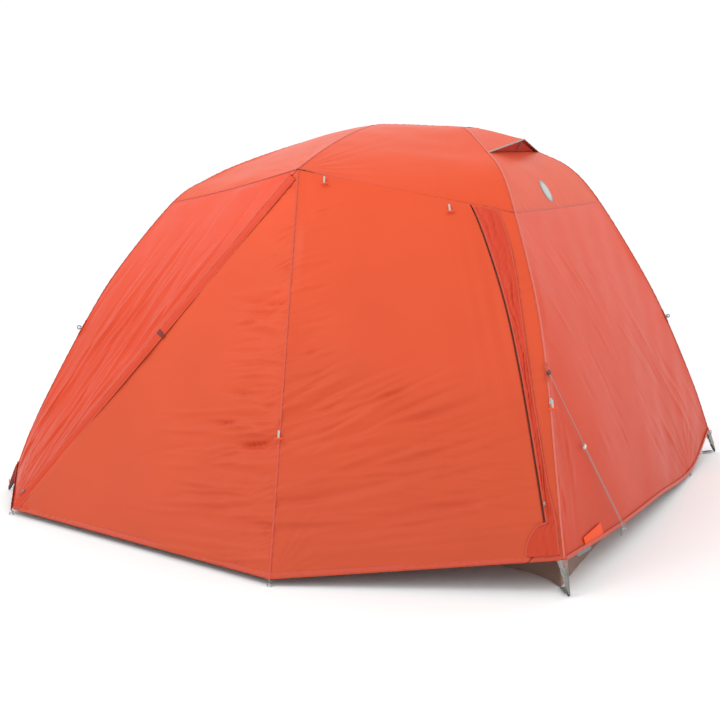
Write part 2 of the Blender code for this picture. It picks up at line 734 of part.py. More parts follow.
tab_here = at_height(front_right, TAB_HEIGHT)
tab_out = unit(tab_here * np.array([1.0, 1.0, 0.0]))
GUY_RING = tab_here + tab_out * (RING + RING_WIRE + RING_STAND)
GUY_FOOT = np.array([1.434, -0.607, 0.100])
GUY_RUN = unit(GUY_FOOT - GUY_RING)
WALL_OUT = np.array([0.957, 0.0, 0.29])
WALL_OUT = unit(WALL_OUT - GUY_RUN * (GUY_RUN @ WALL_OUT))
GUY_ACROSS = unit(np.cross(GUY_RUN, WALL_OUT))
GUY_BEND = 0.005
TENSIONER_SHARE = 0.45
GUY_START = GUY_RING + GUY_RUN * (RING + RING_WIRE + CORD_RADIUS + GAP)


def guy_route():
    """Down from the ring to the hem pin, round it, and back up to the tensioner."""
    length = np.linalg.norm(GUY_FOOT - GUY_START)
    down = np.linspace(0.0, length, 12)[:, None] * GUY_RUN + GUY_START
    swing = np.linspace(0, pi, 8)[1:-1]
    centre = GUY_FOOT + GUY_ACROSS * GUY_BEND
    bend = centre + (np.outer(np.sin(swing), GUY_RUN) - np.outer(np.cos(swing), GUY_ACROSS)) * GUY_BEND
    back = length * (1 - TENSIONER_SHARE) + 0.014
    up = centre + GUY_ACROSS * GUY_BEND - np.linspace(0.0, back, 7)[:, None] * GUY_RUN
    return np.vstack([down, bend, up])


tube("guyline", guy_route(), CORD_RADIUS, cord_cloth)
pin_place = GUY_FOOT + GUY_ACROSS * GUY_BEND
put("hem_hook", rod_shape(0.0032, 0.017, 8), dark, frame_at(pin_place - WALL_OUT * 0.004, GUY_RUN, WALL_OUT))

TENSIONER_AT = GUY_START + (GUY_FOOT - GUY_START) * TENSIONER_SHARE + GUY_ACROSS * GUY_BEND
tensioner_place = frame_at(TENSIONER_AT, GUY_ACROSS, GUY_RUN)
tensioner = box("line_tensioner", (0.022, 0.007, 0.012), tensioner_place, white_plastic)
for way in (-1, 1):
    hole_place = tensioner_place @ Matrix.Translation((way * GUY_BEND, 0, 0))
    hole = helper(rod_shape(CORD_RADIUS + 0.0006, 0.04, 8), hole_place)
    combine(tensioner, hole, "DIFFERENCE")

# ---------------------------------------------------------------- vent strut and patch

STRUT_FOOT = np.array([0.6865, 0.0, VENT_HEIGHT + 0.006])
STRUT_LENGTH = 0.044
strut_way = unit(np.array(VENT_TIP) - np.array([0.004, 0.0, 0.004]) - STRUT_FOOT)
strut_place = frame_at(STRUT_FOOT, (1, 0, 0), strut_way)
strut = box("vent_strut", (0.0025, 0.010, STRUT_LENGTH), strut_place, dark)
strut.data.transform(Matrix.Translation((0, 0, STRUT_LENGTH / 2 + 0.002)))

PATCH_SHARE, PATCH_DROP = 0.416, 0.78
PATCH_HALF = (0.046, 0.064, 1.0, 1.0)
PATCH_LIFT = 0.0035
roof_legs = [between(leg_line(RIGHT, end), CAP_HEIGHT, VENT_HEIGHT)[::-1] for end in (FRONT, BACK)]


def roof_right_at(share, drop):
    return (1 - share) * along(roof_legs[0], drop) + share * along(roof_legs[1], drop)


patch_at = roof_right_at(PATCH_SHARE, PATCH_DROP)
patch_down = roof_right_at(PATCH_SHARE, PATCH_DROP + 0.1) - roof_right_at(PATCH_SHARE, PATCH_DROP - 0.1)
patch_out = unit(np.cross(patch_down, (0.0, 1.0, 0.0)))
patch_out = patch_out if patch_out[0] > 0 else -patch_out
badge_place = frame_at(patch_at + patch_out * PATCH_LIFT, (0, 1, 0), patch_out)
badge = put("roof_patch", rod_shape(1.0, 0.001, 20), webbing, badge_place)
badge.data.transform(Matrix.Diagonal(PATCH_HALF))
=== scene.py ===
"""A family camping tent on bent poles, put together in the order it is pitched.

Poles, hubs and tips come first, then the inner tent and its tray floor, then the fly with
its seams, zips and fittings. Metres, +Z up, -Y is the front.
"""

import bmesh
import bpy
import numpy as np
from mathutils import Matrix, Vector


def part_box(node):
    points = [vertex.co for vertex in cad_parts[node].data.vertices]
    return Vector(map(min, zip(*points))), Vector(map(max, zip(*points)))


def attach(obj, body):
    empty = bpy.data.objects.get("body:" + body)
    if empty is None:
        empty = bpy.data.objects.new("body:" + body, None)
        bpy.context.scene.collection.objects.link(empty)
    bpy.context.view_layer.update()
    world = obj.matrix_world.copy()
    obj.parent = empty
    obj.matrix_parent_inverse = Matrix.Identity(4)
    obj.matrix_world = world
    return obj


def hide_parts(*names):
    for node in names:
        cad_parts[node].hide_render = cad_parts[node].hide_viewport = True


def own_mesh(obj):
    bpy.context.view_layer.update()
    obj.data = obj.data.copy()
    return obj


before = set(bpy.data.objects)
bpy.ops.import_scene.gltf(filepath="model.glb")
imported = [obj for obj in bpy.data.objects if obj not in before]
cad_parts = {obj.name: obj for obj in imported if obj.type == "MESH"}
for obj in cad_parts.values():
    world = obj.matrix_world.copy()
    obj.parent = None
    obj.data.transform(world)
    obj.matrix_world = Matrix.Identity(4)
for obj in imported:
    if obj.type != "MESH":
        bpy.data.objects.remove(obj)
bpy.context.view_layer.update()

# ---------------------------------------------------------------- view, ground and light
# The tent stands on a plain pale studio floor. The view is from the front right, at about
# the height of its cap, and the light is one wide soft source high on the left with a fill.

view = bpy.data.cameras.new("view")
view.lens = 58.7
view_stand = bpy.data.objects.new("view", view)
view_stand.location = (2.705, -5.12, 1.623)
view_stand.rotation_euler = (np.pi / 2 - 0.180, 0.0, 0.506)
bpy.context.scene.collection.objects.link(view_stand)
bpy.context.scene.camera = view_stand

ground_mesh = bpy.data.meshes.new("ground")
GROUND_REACH = 40.0
ground_corners = [(-1, -1), (1, -1), (1, 1), (-1, 1)]
ground_mesh.from_pydata(
    [(x * GROUND_REACH, y * GROUND_REACH, -0.0005) for x, y in ground_corners], [], [(0, 1, 2, 3)]
)
ground = bpy.data.objects.new("ground", ground_mesh)
bpy.context.scene.collection.objects.link(ground)
pale = bpy.data.materials.new("pale_floor")
pale.use_nodes = True
pale.node_tree.nodes["Principled BSDF"].inputs["Base Color"].default_value = (0.97, 0.97, 0.97, 1)
pale.node_tree.nodes["Principled BSDF"].inputs["Roughness"].default_value = 0.9
ground_mesh.materials.append(pale)

sky = bpy.data.worlds.new("studio")
sky.use_nodes = True
sky.node_tree.nodes["Background"].inputs["Color"].default_value = (1.0, 1.0, 1.0, 1)
sky.node_tree.nodes["Background"].inputs["Strength"].default_value = 1.04
bpy.context.scene.world = sky
bpy.context.scene.view_settings.view_transform = "Standard"


def softbox(name, place, target, width, power):
    """A square area lamp at a place, turned to face a target."""
    lamp = bpy.data.lights.new(name, "AREA")
    lamp.size = width
    lamp.energy = power
    stand = bpy.data.objects.new(name, lamp)
    stand.location = place
    aim = np.array(target, float) - np.array(place, float)
    turn = np.arctan2(aim[1], aim[0])
    tilt = np.arccos(-aim[2] / np.linalg.norm(aim))
    stand.rotation_euler = (tilt, 0.0, turn - np.pi / 2)
    bpy.context.scene.collection.objects.link(stand)


softbox("key", (-1.8, -3.6, 4.6), (0, -1.0, 0.6), 2.2, 62)
softbox("rim", (3.0, 3.2, 3.8), (0.9, 0, 1.3), 2.0, 16)

# ---------------------------------------------------------------- guy line
# A thin braided cord runs from a ring on the front right leg to a hook at the wall's hem,
# round it and back up to an orange tensioner. It is pulled taut and tied off in a knot.


def unit(vector):
    vector = np.asarray(vector, float)
    return vector / np.linalg.norm(vector, axis=-1, keepdims=True)


def surface(name, grid, wrap=False, uv=None):
    """A mesh over rows and columns of points, with UVs in metres along them.

    Where wrap is set the last column joins the first, and both ends are closed by a cap.
    """
    rows, columns = grid.shape[:2]
    row, column = np.mgrid[: rows - 1, : columns - (not wrap)]
    up = np.stack([row, row, row + 1, row + 1], -1)
    across = np.stack([column, column + 1, column + 1, column], -1)
    quads = (up * columns + across % columns).reshape(-1, 4)
    faces = quads.tolist()
    if wrap:
        ring = np.arange(columns)
        faces += [ring[::-1].tolist(), (ring + (rows - 1) * columns).tolist()]
    mesh = bpy.data.meshes.new(name)
    mesh.from_pydata(grid.reshape(-1, 3).tolist(), [], faces)
    spot = np.zeros((len(mesh.loops), 2))
    if uv is None:
        span = np.linalg.norm(np.diff(grid, axis=1), axis=2).mean()
        climb = np.linalg.norm(np.diff(grid, axis=0), axis=2).mean()
        spot[: quads.size] = np.stack([across.ravel() * span, up.ravel() * climb], -1)
    else:
        spot[:] = uv.reshape(-1, 2)[quads.ravel()]
    mesh.uv_layers.new(name="UVMap").uv.foreach_set("vector", spot.ravel())
    if wrap:
        work = bmesh.new()
        work.from_mesh(mesh)
        bmesh.ops.recalc_face_normals(work, faces=work.faces)
        work.to_mesh(mesh)
        work.free()
    mesh.shade_smooth()
    mesh.set_sharp_from_angle(angle=0.9)
    return mesh


def sweep(name, path, section, out, scale=1.0):
    """A closed body: a loop of (across, outward) points carried along a path."""
    path = np.asarray(path, float)
    ahead = unit(np.gradient(path, axis=0))
    out = np.broadcast_to(out, path.shape)
    out = unit(out - ahead * (out * ahead).sum(1, keepdims=True))
    across = np.cross(out, ahead)
    size = np.broadcast_to(scale, len(path))[:, None, None]
    section = np.asarray(section, float)
    grid = path[:, None] + (across[:, None] * section[:, :1] + out[:, None] * section[:, 1:]) * size
    return surface(name, grid, wrap=True)


def ring_of(radius, sides, squeeze=1.0):
    turn = np.linspace(0, 2 * np.pi, sides, endpoint=False)
    return np.stack([np.cos(turn) * radius, np.sin(turn) * radius * squeeze], 1)


def evenly(line, count):
    """The same line with its points at equal distances."""
    run = np.concatenate([[0], np.cumsum(np.linalg.norm(np.diff(line, axis=0), axis=1))])
    places = np.linspace(0, run[-1], count)
    return np.stack([np.interp(places, run, line[:, axis]) for axis in range(3)], 1)


class Value:
    """A number that varies over a surface. + - * / on it add Math nodes, either way round."""

    def __init__(self, finish, socket):
        self.finish, self.socket = finish, socket

    def math(self, operation, first, second=0.0):
        return self.finish.node("ShaderNodeMath", {"operation": operation}, {0: first, 1: second})

    def __add__(self, other):
        return self.math("ADD", self, other)

    def __sub__(self, other):
        return self.math("SUBTRACT", self, other)

    def __rsub__(self, other):
        return self.math("SUBTRACT", other, self)

    def __mul__(self, other):
        return self.math("MULTIPLY", self, other)

    def __truediv__(self, other):
        return self.math("DIVIDE", self, other)

    def below(self, other):
        return self.math("LESS_THAN", self, other)

    def wave(self, pitch):
        return self.math("SINE", self * (2 * np.pi / pitch))

    def part(self, pitch):
        return self.math("FRACT", self / pitch)

    def size(self):
        return self.math("ABSOLUTE", self)

    def most(self, other):
        return self.math("MAXIMUM", self, other)

    __radd__, __rmul__ = __add__, __mul__


class Finish:
    """One material. node() adds a node from its type, settings and sockets."""

    def __init__(self, name, colour, roughness=0.6, metallic=0.0, **sockets):
        self.material = bpy.data.materials.new(name)
        self.material.use_nodes = True
        self.tree = self.material.node_tree
        self.shader = self.tree.nodes["Principled BSDF"]
        self.colour = (*colour, 1.0)
        self.set("Base Color", self.colour)
        self.set("Roughness", roughness)
        self.set("Metallic", metallic)
        for key, value in sockets.items():
            self.set(key.replace("_", " "), value)

    def fill(self, socket, value):
        if isinstance(value, Value):
            self.tree.links.new(value.socket, socket)
        else:
            socket.default_value = value

    def set(self, key, value):
        self.fill(self.shader.inputs[key], value)

    def node(self, kind, settings=None, sockets=None, output=0):
        made = self.tree.nodes.new(kind)
        for key, value in (settings or {}).items():
            setattr(made, key, value)
        for key, value in (sockets or {}).items():
            self.fill(made.inputs[key], value)
        return Value(self, made.outputs[output])

    def along(self):
        """The piece's own (across, along) in metres."""
        spot = self.node("ShaderNodeUVMap", {"uv_map": "UVMap"})
        return [self.node("ShaderNodeSeparateXYZ", {}, {0: spot}, axis) for axis in range(2)]

    def noise(self, scale, detail=3.0):
        spot = self.node("ShaderNodeTexCoord", output=3)
        return self.node("ShaderNodeTexNoise", {}, {"Vector": spot, "Scale": scale, "Detail": detail})

    def blend(self, share, first, second):
        return self.node("ShaderNodeMix", {"data_type": "RGBA"}, {0: share, 6: first, 7: second}, 2)

    def tint(self, share, darkest, lightest):
        """The colour between two shades of itself."""
        shades = [(*[channel * level for channel in self.colour[:3]], 1.0) for level in (darkest, lightest)]
        return self.blend(share, *shades)

    def bump(self, height, distance, strength=1.0):
        self.set(
            "Normal",
            self.node("ShaderNodeBump", {}, {"Height": height, "Distance": distance, "Strength": strength})
        )


def add(name, mesh, body, finish, slot, *nodes):
    """A finished piece: it rides on a body and stands for the CAD nodes named."""
    made = bpy.data.objects.new(name, mesh)
    bpy.context.scene.collection.objects.link(made)
    if not made.data.materials:
        made.data.materials.append(finish.material)
    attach(made, body)
    if nodes:
        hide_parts(*nodes)
    return made


def middle(node):
    low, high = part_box(node)
    return (np.array(low) + np.array(high)) / 2


def braid_finish(name, colour, pitch):
    """Fine diagonal plaits: two crossed waves in the cord's own coordinates."""
    made = Finish(name, colour, 0.8)
    across, up = made.along()
    plait = (across + up).wave(pitch) * (across - up).wave(pitch)
    made.set("Base Color", made.tint(plait * 0.5 + 0.5, 0.62, 1.05))
    made.bump(plait, 0.0003, 0.7)
    return made


cord_grey = braid_finish("cord_grey", (0.44, 0.44, 0.42), 0.0022)

CORD_RADIUS = 0.00125
GUY_RING = np.array([1.1897, -0.8827, 0.765])
GUY_FOOT = np.array([1.434, -0.607, 0.100])
GUY_RUN = unit(GUY_FOOT - GUY_RING)
GUY_BEND = 0.005
RING, RING_WIRE = 0.0085, 0.002
TENSIONER_SHARE = 0.45
wall_out = np.array([0.957, 0.0, 0.29])
wall_out = unit(wall_out - GUY_RUN * (GUY_RUN @ wall_out))
guy_across = unit(np.cross(GUY_RUN, wall_out))
guy_start = GUY_RING + GUY_RUN * (RING + RING_WIRE + CORD_RADIUS + 0.0003)
guy_length = np.linalg.norm(GUY_FOOT - guy_start)
guy_centre = GUY_FOOT + guy_across * GUY_BEND
swing = np.linspace(0, np.pi, 14)[1:-1]
guy_down = guy_start + np.linspace(0, guy_length, 60)[:, None] * GUY_RUN
guy_turn = (
    guy_centre - np.outer(np.cos(swing), guy_across) * GUY_BEND
    + np.outer(np.sin(swing), GUY_RUN) * GUY_BEND
)
guy_back = guy_length * (1 - TENSIONER_SHARE) + 0.014
guy_up = guy_centre + guy_across * GUY_BEND - np.linspace(0, guy_back, 34)[:, None] * GUY_RUN
guy_path = np.vstack([guy_down, guy_turn, guy_up])
guyline = add(
    "guyline_cord", sweep("guyline_cord", guy_path, ring_of(CORD_RADIUS, 10), wall_out), "tent", cord_grey,
    "cord", "guyline"
)

knot_at = guy_path[-1]
turns = np.linspace(0, 2 * np.pi, 40)
trefoil = np.stack(
    [np.sin(turns) + 2 * np.sin(2 * turns), np.cos(turns) - 2 * np.cos(2 * turns), -np.sin(3 * turns)], 1
)
knot_path = knot_at - GUY_RUN * 0.003 + trefoil * 0.00115
knot = add(
    "guyline_knot", sweep("guyline_knot", knot_path, ring_of(CORD_RADIUS, 8), wall_out + 0.3), "tent",
    cord_grey, "cord"
)

# ---------------------------------------------------------------- poles
# Nine and a half millimetre alloy tube, anodised grey, bent over each corner into a hub on
# the ridge. Ferrules show as slightly fatter sleeves where the sections plug together.

LEFT, RIGHT, FRONT, BACK = -1, 1, -1, 1
HANDS = {LEFT: "left", RIGHT: "right"}
ENDS = {FRONT: "front", BACK: "back"}
LEG_LOWER = (
    (1.400, 1.187, 0.0), (1.346, 1.127, 0.207), (1.289, 1.045, 0.415), (1.176, 0.871, 0.771),
    (1.070, 0.727, 1.037)
)
LEG_TOP = {
    RIGHT: (
        (0.906, 0.557, 1.361), (0.800, 0.440, 1.515), (0.680, 0.311, 1.596), (0.485, 0.104, 1.699),
        (0.383, 0.0, 1.712)
    ),
    LEFT: (
        (0.864, 0.548, 1.358), (0.735, 0.440, 1.468), (0.598, 0.311, 1.550), (0.410, 0.104, 1.640),
        (0.340, 0.0, 1.660)
    ),
}
CAP_HEIGHT, HEM_HEIGHT, VENT_HEIGHT, TAB_HEIGHT = 1.358, 0.12, 1.598, 0.765
PEAK, BROW_REACH, BROW_DROP, BROW_POWER = 1.729, 0.784, 0.292, 1.6
HEART = np.array([0.0, 0.0, 0.4])
POLE_RADIUS, POLE_INSET = 0.00475, 0.022


def smooth(points, steps=24):
    """A Catmull-Rom curve through the points."""
    points = np.array(points, float)
    padded = np.vstack([2 * points[0] - points[1], points, 2 * points[-1] - points[-2]])
    a, b, c, d = (padded[i : len(padded) - 3 + i, None] for i in range(4))
    t = np.linspace(0, 1, steps, endpoint=False)[None, :, None]
    bend = (2 * a - 5 * b + 4 * c - d) * t**2 + (-a + 3 * b - 3 * c + d) * t**3
    curve = 0.5 * (2 * b + (c - a) * t + bend)
    return np.vstack([curve.reshape(-1, 3), points[-1:]])


def leg_line(side, end):
    """The fly's outer surface over one leg, foot first."""
    return smooth(LEG_LOWER + LEG_TOP[side]) * (side, end, 1.0)


def at_height(line, height):
    return np.stack([np.interp(height, line[:, 2], line[:, axis]) for axis in range(3)], -1)


def between(line, low, high, count=201):
    """The stretch of a rising line between two heights, high end first."""
    inside = line[(line[:, 2] > low) & (line[:, 2] < high)]
    return evenly(np.vstack([at_height(line, low), inside, at_height(line, high)]), count)[::-1]


def inward(line, depth):
    return line + unit(HEART - line) * depth


def ease(value):
    value = np.clip(value, 0, 1)
    return value * value * (3 - 2 * value)


alloy = Finish("pole_alloy", (0.40, 0.41, 0.43), 0.32, 0.9)
drawn = alloy.noise(180.0, 2.0)
alloy.set("Roughness", drawn * 0.14 + 0.25)
alloy.set("Base Color", alloy.tint(alloy.noise(9.0), 0.86, 1.08))

moulded = Finish("moulded_nylon", (0.045, 0.045, 0.05), 0.5)
moulded.bump(moulded.noise(900.0), 0.0004, 0.35)
moulded.set("Roughness", moulded.noise(40.0) * 0.2 + 0.42)

FERRULE_PITCH, FERRULE_LENGTH, FERRULE_SWELL = 0.46, 0.055, 0.16


def pole(name, line, node):
    """A tube along a line, its radius eased up over each ferrule."""
    length = np.linalg.norm(np.diff(line, axis=0), axis=1).sum()
    line = evenly(line, 161)
    run = np.linspace(0, length, 161)
    off = np.abs((run + FERRULE_PITCH / 2) % FERRULE_PITCH - FERRULE_PITCH / 2)
    swell = 1 + FERRULE_SWELL * (off < FERRULE_LENGTH / 2) * (run > FERRULE_PITCH / 2)
    side = np.array([0.3, 0.2, 1.0]) if abs(line[0, 2] - line[-1, 2]) < 0.3 else np.array([1.0, 0.5, 0.1])
    return add(
        name, sweep(name, line, ring_of(POLE_RADIUS, 14), side, swell), "tent", alloy, "pole_alloy", node
    )


for side, hand in HANDS.items():
    for end, where in ENDS.items():
        over = leg_line(side, end)
        over = inward(over, POLE_INSET * ease(over[:, 2:] / HEM_HEIGHT))
        tip = np.array([side * LEG_LOWER[0][0], end * LEG_LOWER[0][1], 0.003])
        lean = unit(at_height(over, 0.1) - tip)
        foot_end = tip + lean * 0.0503
        line = np.vstack([foot_end, between(over, 0.1, over[-1, 2])[::-1]])
        line = evenly(line, 400)[: int(400 * 0.9885)]
        pole(f"pole_{where}_{hand}", line, f"leg_pole_{where}_{hand}")
        heights = np.array([0.0, 0.001, 0.012, 0.030, 0.0305, 0.046, 0.049, 0.050])
        widths = np.array([0.0030, 0.0042, 0.0066, 0.0066, 0.0070, 0.0070, 0.0066, 0.0052])
        tip_mesh = sweep("tip", tip + np.outer(heights, lean), ring_of(1.0, 18), (0.3, 1.0, 0.0), widths)
        add(f"tip_{where}_{hand}", tip_mesh, "tent", moulded, "dark_plastic", f"pole_tip_{where}_{hand}")
    hub_middle = middle(f"ridge_hub_{hand}")
    hub_heights = np.array([-0.011, -0.0105, -0.008, -0.002, 0.0, 0.002, 0.006, 0.0095, 0.011])
    hub_widths = np.array([0.012, 0.018, 0.0225, 0.023, 0.0222, 0.023, 0.023, 0.0195, 0.014])
    hub_line = hub_middle + np.outer(hub_heights, (0, 0, 1))
    add(
        f"hub_{hand}", sweep("hub", hub_line, ring_of(1.0, 40), (1.0, 0, 0), hub_widths), "tent", moulded,
        "dark_plastic", f"ridge_hub_{hand}"
    )

low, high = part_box("ridge_pole")
x = np.linspace(low[0], high[0], 81)
t = np.where(x > 0, x / LEG_TOP[RIGHT][-1][0], -x / LEG_TOP[LEFT][-1][0])
drop = np.where(x > 0, LEG_TOP[RIGHT][-1][2], LEG_TOP[LEFT][-1][2]) - PEAK
inset = 0.025 + (POLE_INSET - 0.025) * (x / 0.38) ** 2
pole("pole_ridge", np.stack([x, 0 * x, PEAK + drop * t**1.6 - inset], 1), "ridge_pole")
low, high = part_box("brow_pole")
y = np.linspace(low[1] + 0.002, high[1] - 0.002, 161)
pole("pole_brow", np.stack([0 * y, y, PEAK - 0.011 - BROW_DROP * np.abs(y) ** BROW_POWER], 1), "brow_pole")

# ---------------------------------------------------------------- floor tray
# A waterproof taupe floor whose edges are turned up into walls. Its corners are drawn out by
# straps to the pole tips, which pulls folds into the cloth round each one.

FLOOR_X, FLOOR_Y, TRAY_HEIGHT = 1.30, 1.00, 0.148
TRAY_CORNER_X, TRAY_CORNER_Y = 1.345, 1.115
TRAY_TOP_INSET = 0.004
WALL = 0.001


def tray_outline(height, corner_x, corner_y):
    """Sides that curve out to the corners: x grows with y squared, y with x to the twelfth."""
    y = np.linspace(-1, 1, 81)[:-1]
    x = np.linspace(1, -1, 201)[:-1]
    side = np.stack([FLOOR_X + (corner_x - FLOOR_X) * y**2, corner_y * y], 1)
    back = np.stack([corner_x * x, FLOOR_Y + (corner_y - FLOOR_Y) * x**12], 1)
    ring = np.vstack([side, back, -side, -back, side[:1]])
    return np.column_stack([ring, np.full(len(ring), height)])


CLOTH_GLOSS = 0.11


def cloth_finish(name, colour, roughness, pitch, ripstop, sheen, depth=0.0002, **more):
    """Woven cloth: crossed waves of thread, a square of thicker threads, and faint mottling."""
    made = Finish(name, colour, roughness, Sheen_Weight=sheen, Sheen_Roughness=0.45, **more)
    made.set("Specular IOR Level", CLOTH_GLOSS)
    across, up = made.along()
    weave = across.wave(pitch) * up.wave(pitch)
    square = (across.part(ripstop) - 0.5).size().most((up.part(ripstop) - 0.5).size())
    thick = 1.0 - square.below(0.44)
    mottle = made.noise(3.0, 4.0)
    made.shade = mottle * 0.9 + thick * 0.05 + weave * 0.04
    made.set("Base Color", made.tint(made.shade, 0.90, 1.06))
    made.set("Roughness", made.noise(14.0) * 0.12 + (roughness - 0.06))
    made.bump(weave * 0.4 + thick * 0.8 + made.noise(26.0, 4.0) * 6.0, depth, 0.5)
    return made


def outward(grid):
    """The grid with its columns in the order that makes its faces look away from the heart."""
    normal = np.cross(np.gradient(grid, axis=1), np.gradient(grid, axis=0))
    return grid if (normal * (grid - HEART)).sum() > 0 else grid[:, ::-1]


def normals(grid):
    """Unit normals of an outward grid, from its slopes along both parameters."""
    normal = np.cross(np.gradient(grid, axis=1), np.gradient(grid, axis=0))
    return normal / np.maximum(np.linalg.norm(normal, axis=-1, keepdims=True), 1e-12)


def lengths(grid, axis):
    return np.linalg.norm(np.diff(grid, axis=axis), axis=2).sum(axis).max()


def area_of(grid):
    first, second = grid[1:, 1:] - grid[:-1, :-1], grid[1:, :-1] - grid[:-1, 1:]
    return np.linalg.norm(np.cross(first, second), axis=-1).sum() / 2


def cloth(name, grid, body, finish, slot, nodes=(), wall=WALL, flat=None, uv=None):
    """A sheet of cloth over an outward grid, with its UVs laid flat on the sheet's own plane."""
    grid = outward(grid)
    if uv is None:
        along_row = unit((grid[:, -1] - grid[:, 0]).sum(0))
        along_column = unit((grid[-1] - grid[0]).sum(0))
        along_column = unit(along_column - along_row * (along_row @ along_column))
        uv = np.stack([grid @ along_row, grid @ along_column], -1)
    else:
        uv = uv(grid)
    mesh = surface(name, grid, uv=uv)
    work = bmesh.new()
    work.from_mesh(mesh)
    bmesh.ops.remove_doubles(work, verts=work.verts, dist=1e-6)
    work.to_mesh(mesh)
    work.free()
    made = add(name, mesh, body, finish, slot, *nodes)
    solid = made.modifiers.new("wall", "SOLIDIFY")
    solid.thickness = wall
    solid.offset = -1.0
    flat = flat or (lengths(grid, 1), lengths(grid, 0))
    area = min(area_of(grid), flat[0] * flat[1])
    return made


floor_finish = cloth_finish("floor_cloth", (0.30, 0.19, 0.15), 0.55, 0.0014, 0.012, 0.1)
low_ring = tray_outline(0.0, TRAY_CORNER_X, TRAY_CORNER_Y)
top_ring = tray_outline(TRAY_HEIGHT, FLOOR_X - TRAY_TOP_INSET, FLOOR_Y - TRAY_TOP_INSET)
climb = np.linspace(1, 0, 14)[:, None, None]
walls = low_ring * (1 - climb) + top_ring * climb
corner_reach = np.hypot(np.abs(walls[..., 0]) - TRAY_CORNER_X, np.abs(walls[..., 1]) - TRAY_CORNER_Y)
fold_angle = np.arctan2(walls[..., 2] + 0.01, corner_reach)
fold = np.sin(fold_angle * 17) * np.exp(-corner_reach / 0.14) * ease(corner_reach / 0.05)
sag = 0.003 + 0.004 * fold * ease(climb[..., 0] * 6) + 0.004 * np.sin(np.pi * climb[..., 0])
walls = walls - unit(walls * (1, 1, 0)) * sag[..., None]
walls[..., 2] = np.maximum(walls[..., 2], 0.002)
shrink = np.linspace(1, 0, 12)[1:, None, None]
base = walls[-1:] * [1, 1, 0] * shrink
ripple = (
    0.002
    + 0.0008 * (1 + np.sin(base[..., :1] * 21 + 2 * np.sin(base[..., 1:2] * 9))) * ease((1 - shrink) * 6)
)
base = base + ripple * (0, 0, 1)
cloth(
    "floor_tray_cloth", np.concatenate([walls, base]), "tent", floor_finish, "floor_cloth", ["floor_tray"],
    flat=(2 * (FLOOR_X + TRAY_HEIGHT), 2 * (FLOOR_Y + TRAY_HEIGHT)),
    uv=lambda grid: np.stack([grid[..., 0], grid[..., 1] + grid[..., 2]], -1),
)

# ---------------------------------------------------------------- inner tent
# Grey nylon and mesh between four corner seams, ending at the tray's top edge. The front has a doorway, and
# the door is rolled and tied beside it.

INNER_LOWER = ((1.296, 0.996, 0.15), (1.235, 0.93, 0.45), (1.12, 0.80, 0.80))
INNER_TOP = {
    RIGHT: ((1.00, 0.66, 1.06), (0.82, 0.48, 1.33), (0.60, 0.25, 1.52), (0.36, 0.02, 1.62)),
    LEFT: ((0.99, 0.66, 1.06), (0.78, 0.47, 1.31), (0.53, 0.25, 1.47), (0.31, 0.02, 1.57)),
}
DOORWAY_HALF, DOORWAY_LOW, DOORWAY_TOP = 0.38, 0.2, 1.12
MESH_FROM = 0.62

inner_finish = cloth_finish("inner_cloth", (0.56, 0.56, 0.545), 0.8, 0.0016, 0.02, 0.2)
holes = (inner_finish.along()[0].wave(0.003) * inner_finish.along()[1].wave(0.003)).size()
high_up = inner_finish.node(
    "ShaderNodeSeparateXYZ", {}, {0: inner_finish.node("ShaderNodeTexCoord", output=3)}, 2
)
netting = 1.0 - high_up.below(MESH_FROM)
inner_finish.set("Alpha", 1.0 - netting * (1.0 - holes.below(0.45)) * 0.55)


def along(line, share):
    """Points at shares of a line's length."""
    line = evenly(line, 400)
    marks = np.linspace(0, 1, len(line))
    return np.stack([np.interp(share, marks, line[:, axis]) for axis in range(3)], -1)


def corner_seam(side, end):
    return evenly(smooth(INNER_LOWER + INNER_TOP[side]) * (side, end, 1), 200)


def waves(spot, seed, size, amount):
    """A slow uneven swell: five plane waves in seeded directions, near one size."""
    draw = np.random.default_rng(seed)
    total = 0.0
    for _ in range(5):
        way = unit(draw.normal(size=3)) * 2 * np.pi / (size * draw.uniform(0.7, 1.5))
        total = total + np.sin(spot @ way + draw.uniform(0, 2 * np.pi))
    return total * amount / 3


def raised(grid, amount):
    """The grid moved along its own outward normals."""
    return grid + normals(grid) * np.asarray(amount)[..., None]


def inner_panel(first, second, share_from, share_to, low, high, seed):
    """A ruled piece of wall between two corner seams, between shares across and heights."""
    heights = np.linspace(high, low, 70)
    ends = [at_height(first, heights)[:, None], at_height(second, heights)[:, None]]
    start, stop = (share(ends) if callable(share) else share for share in (share_from, share_to))
    share = start + (stop - start) * np.linspace(0, 1, 70)[None, :, None]
    grid = outward(ends[0] * (1 - share) + ends[1] * share)
    keep_still = np.minimum(np.sin(np.linspace(0, np.pi, 70)), 0.3)
    return raised(grid, waves(grid, seed, 0.35, 0.006) * keep_still * keep_still[:, None] / 0.09 - 0.002)


def door_side(x):
    """Where x lies between the two seams, as a share."""
    return lambda ends: (x - ends[0][..., :1]) / (ends[1][..., :1] - ends[0][..., :1])


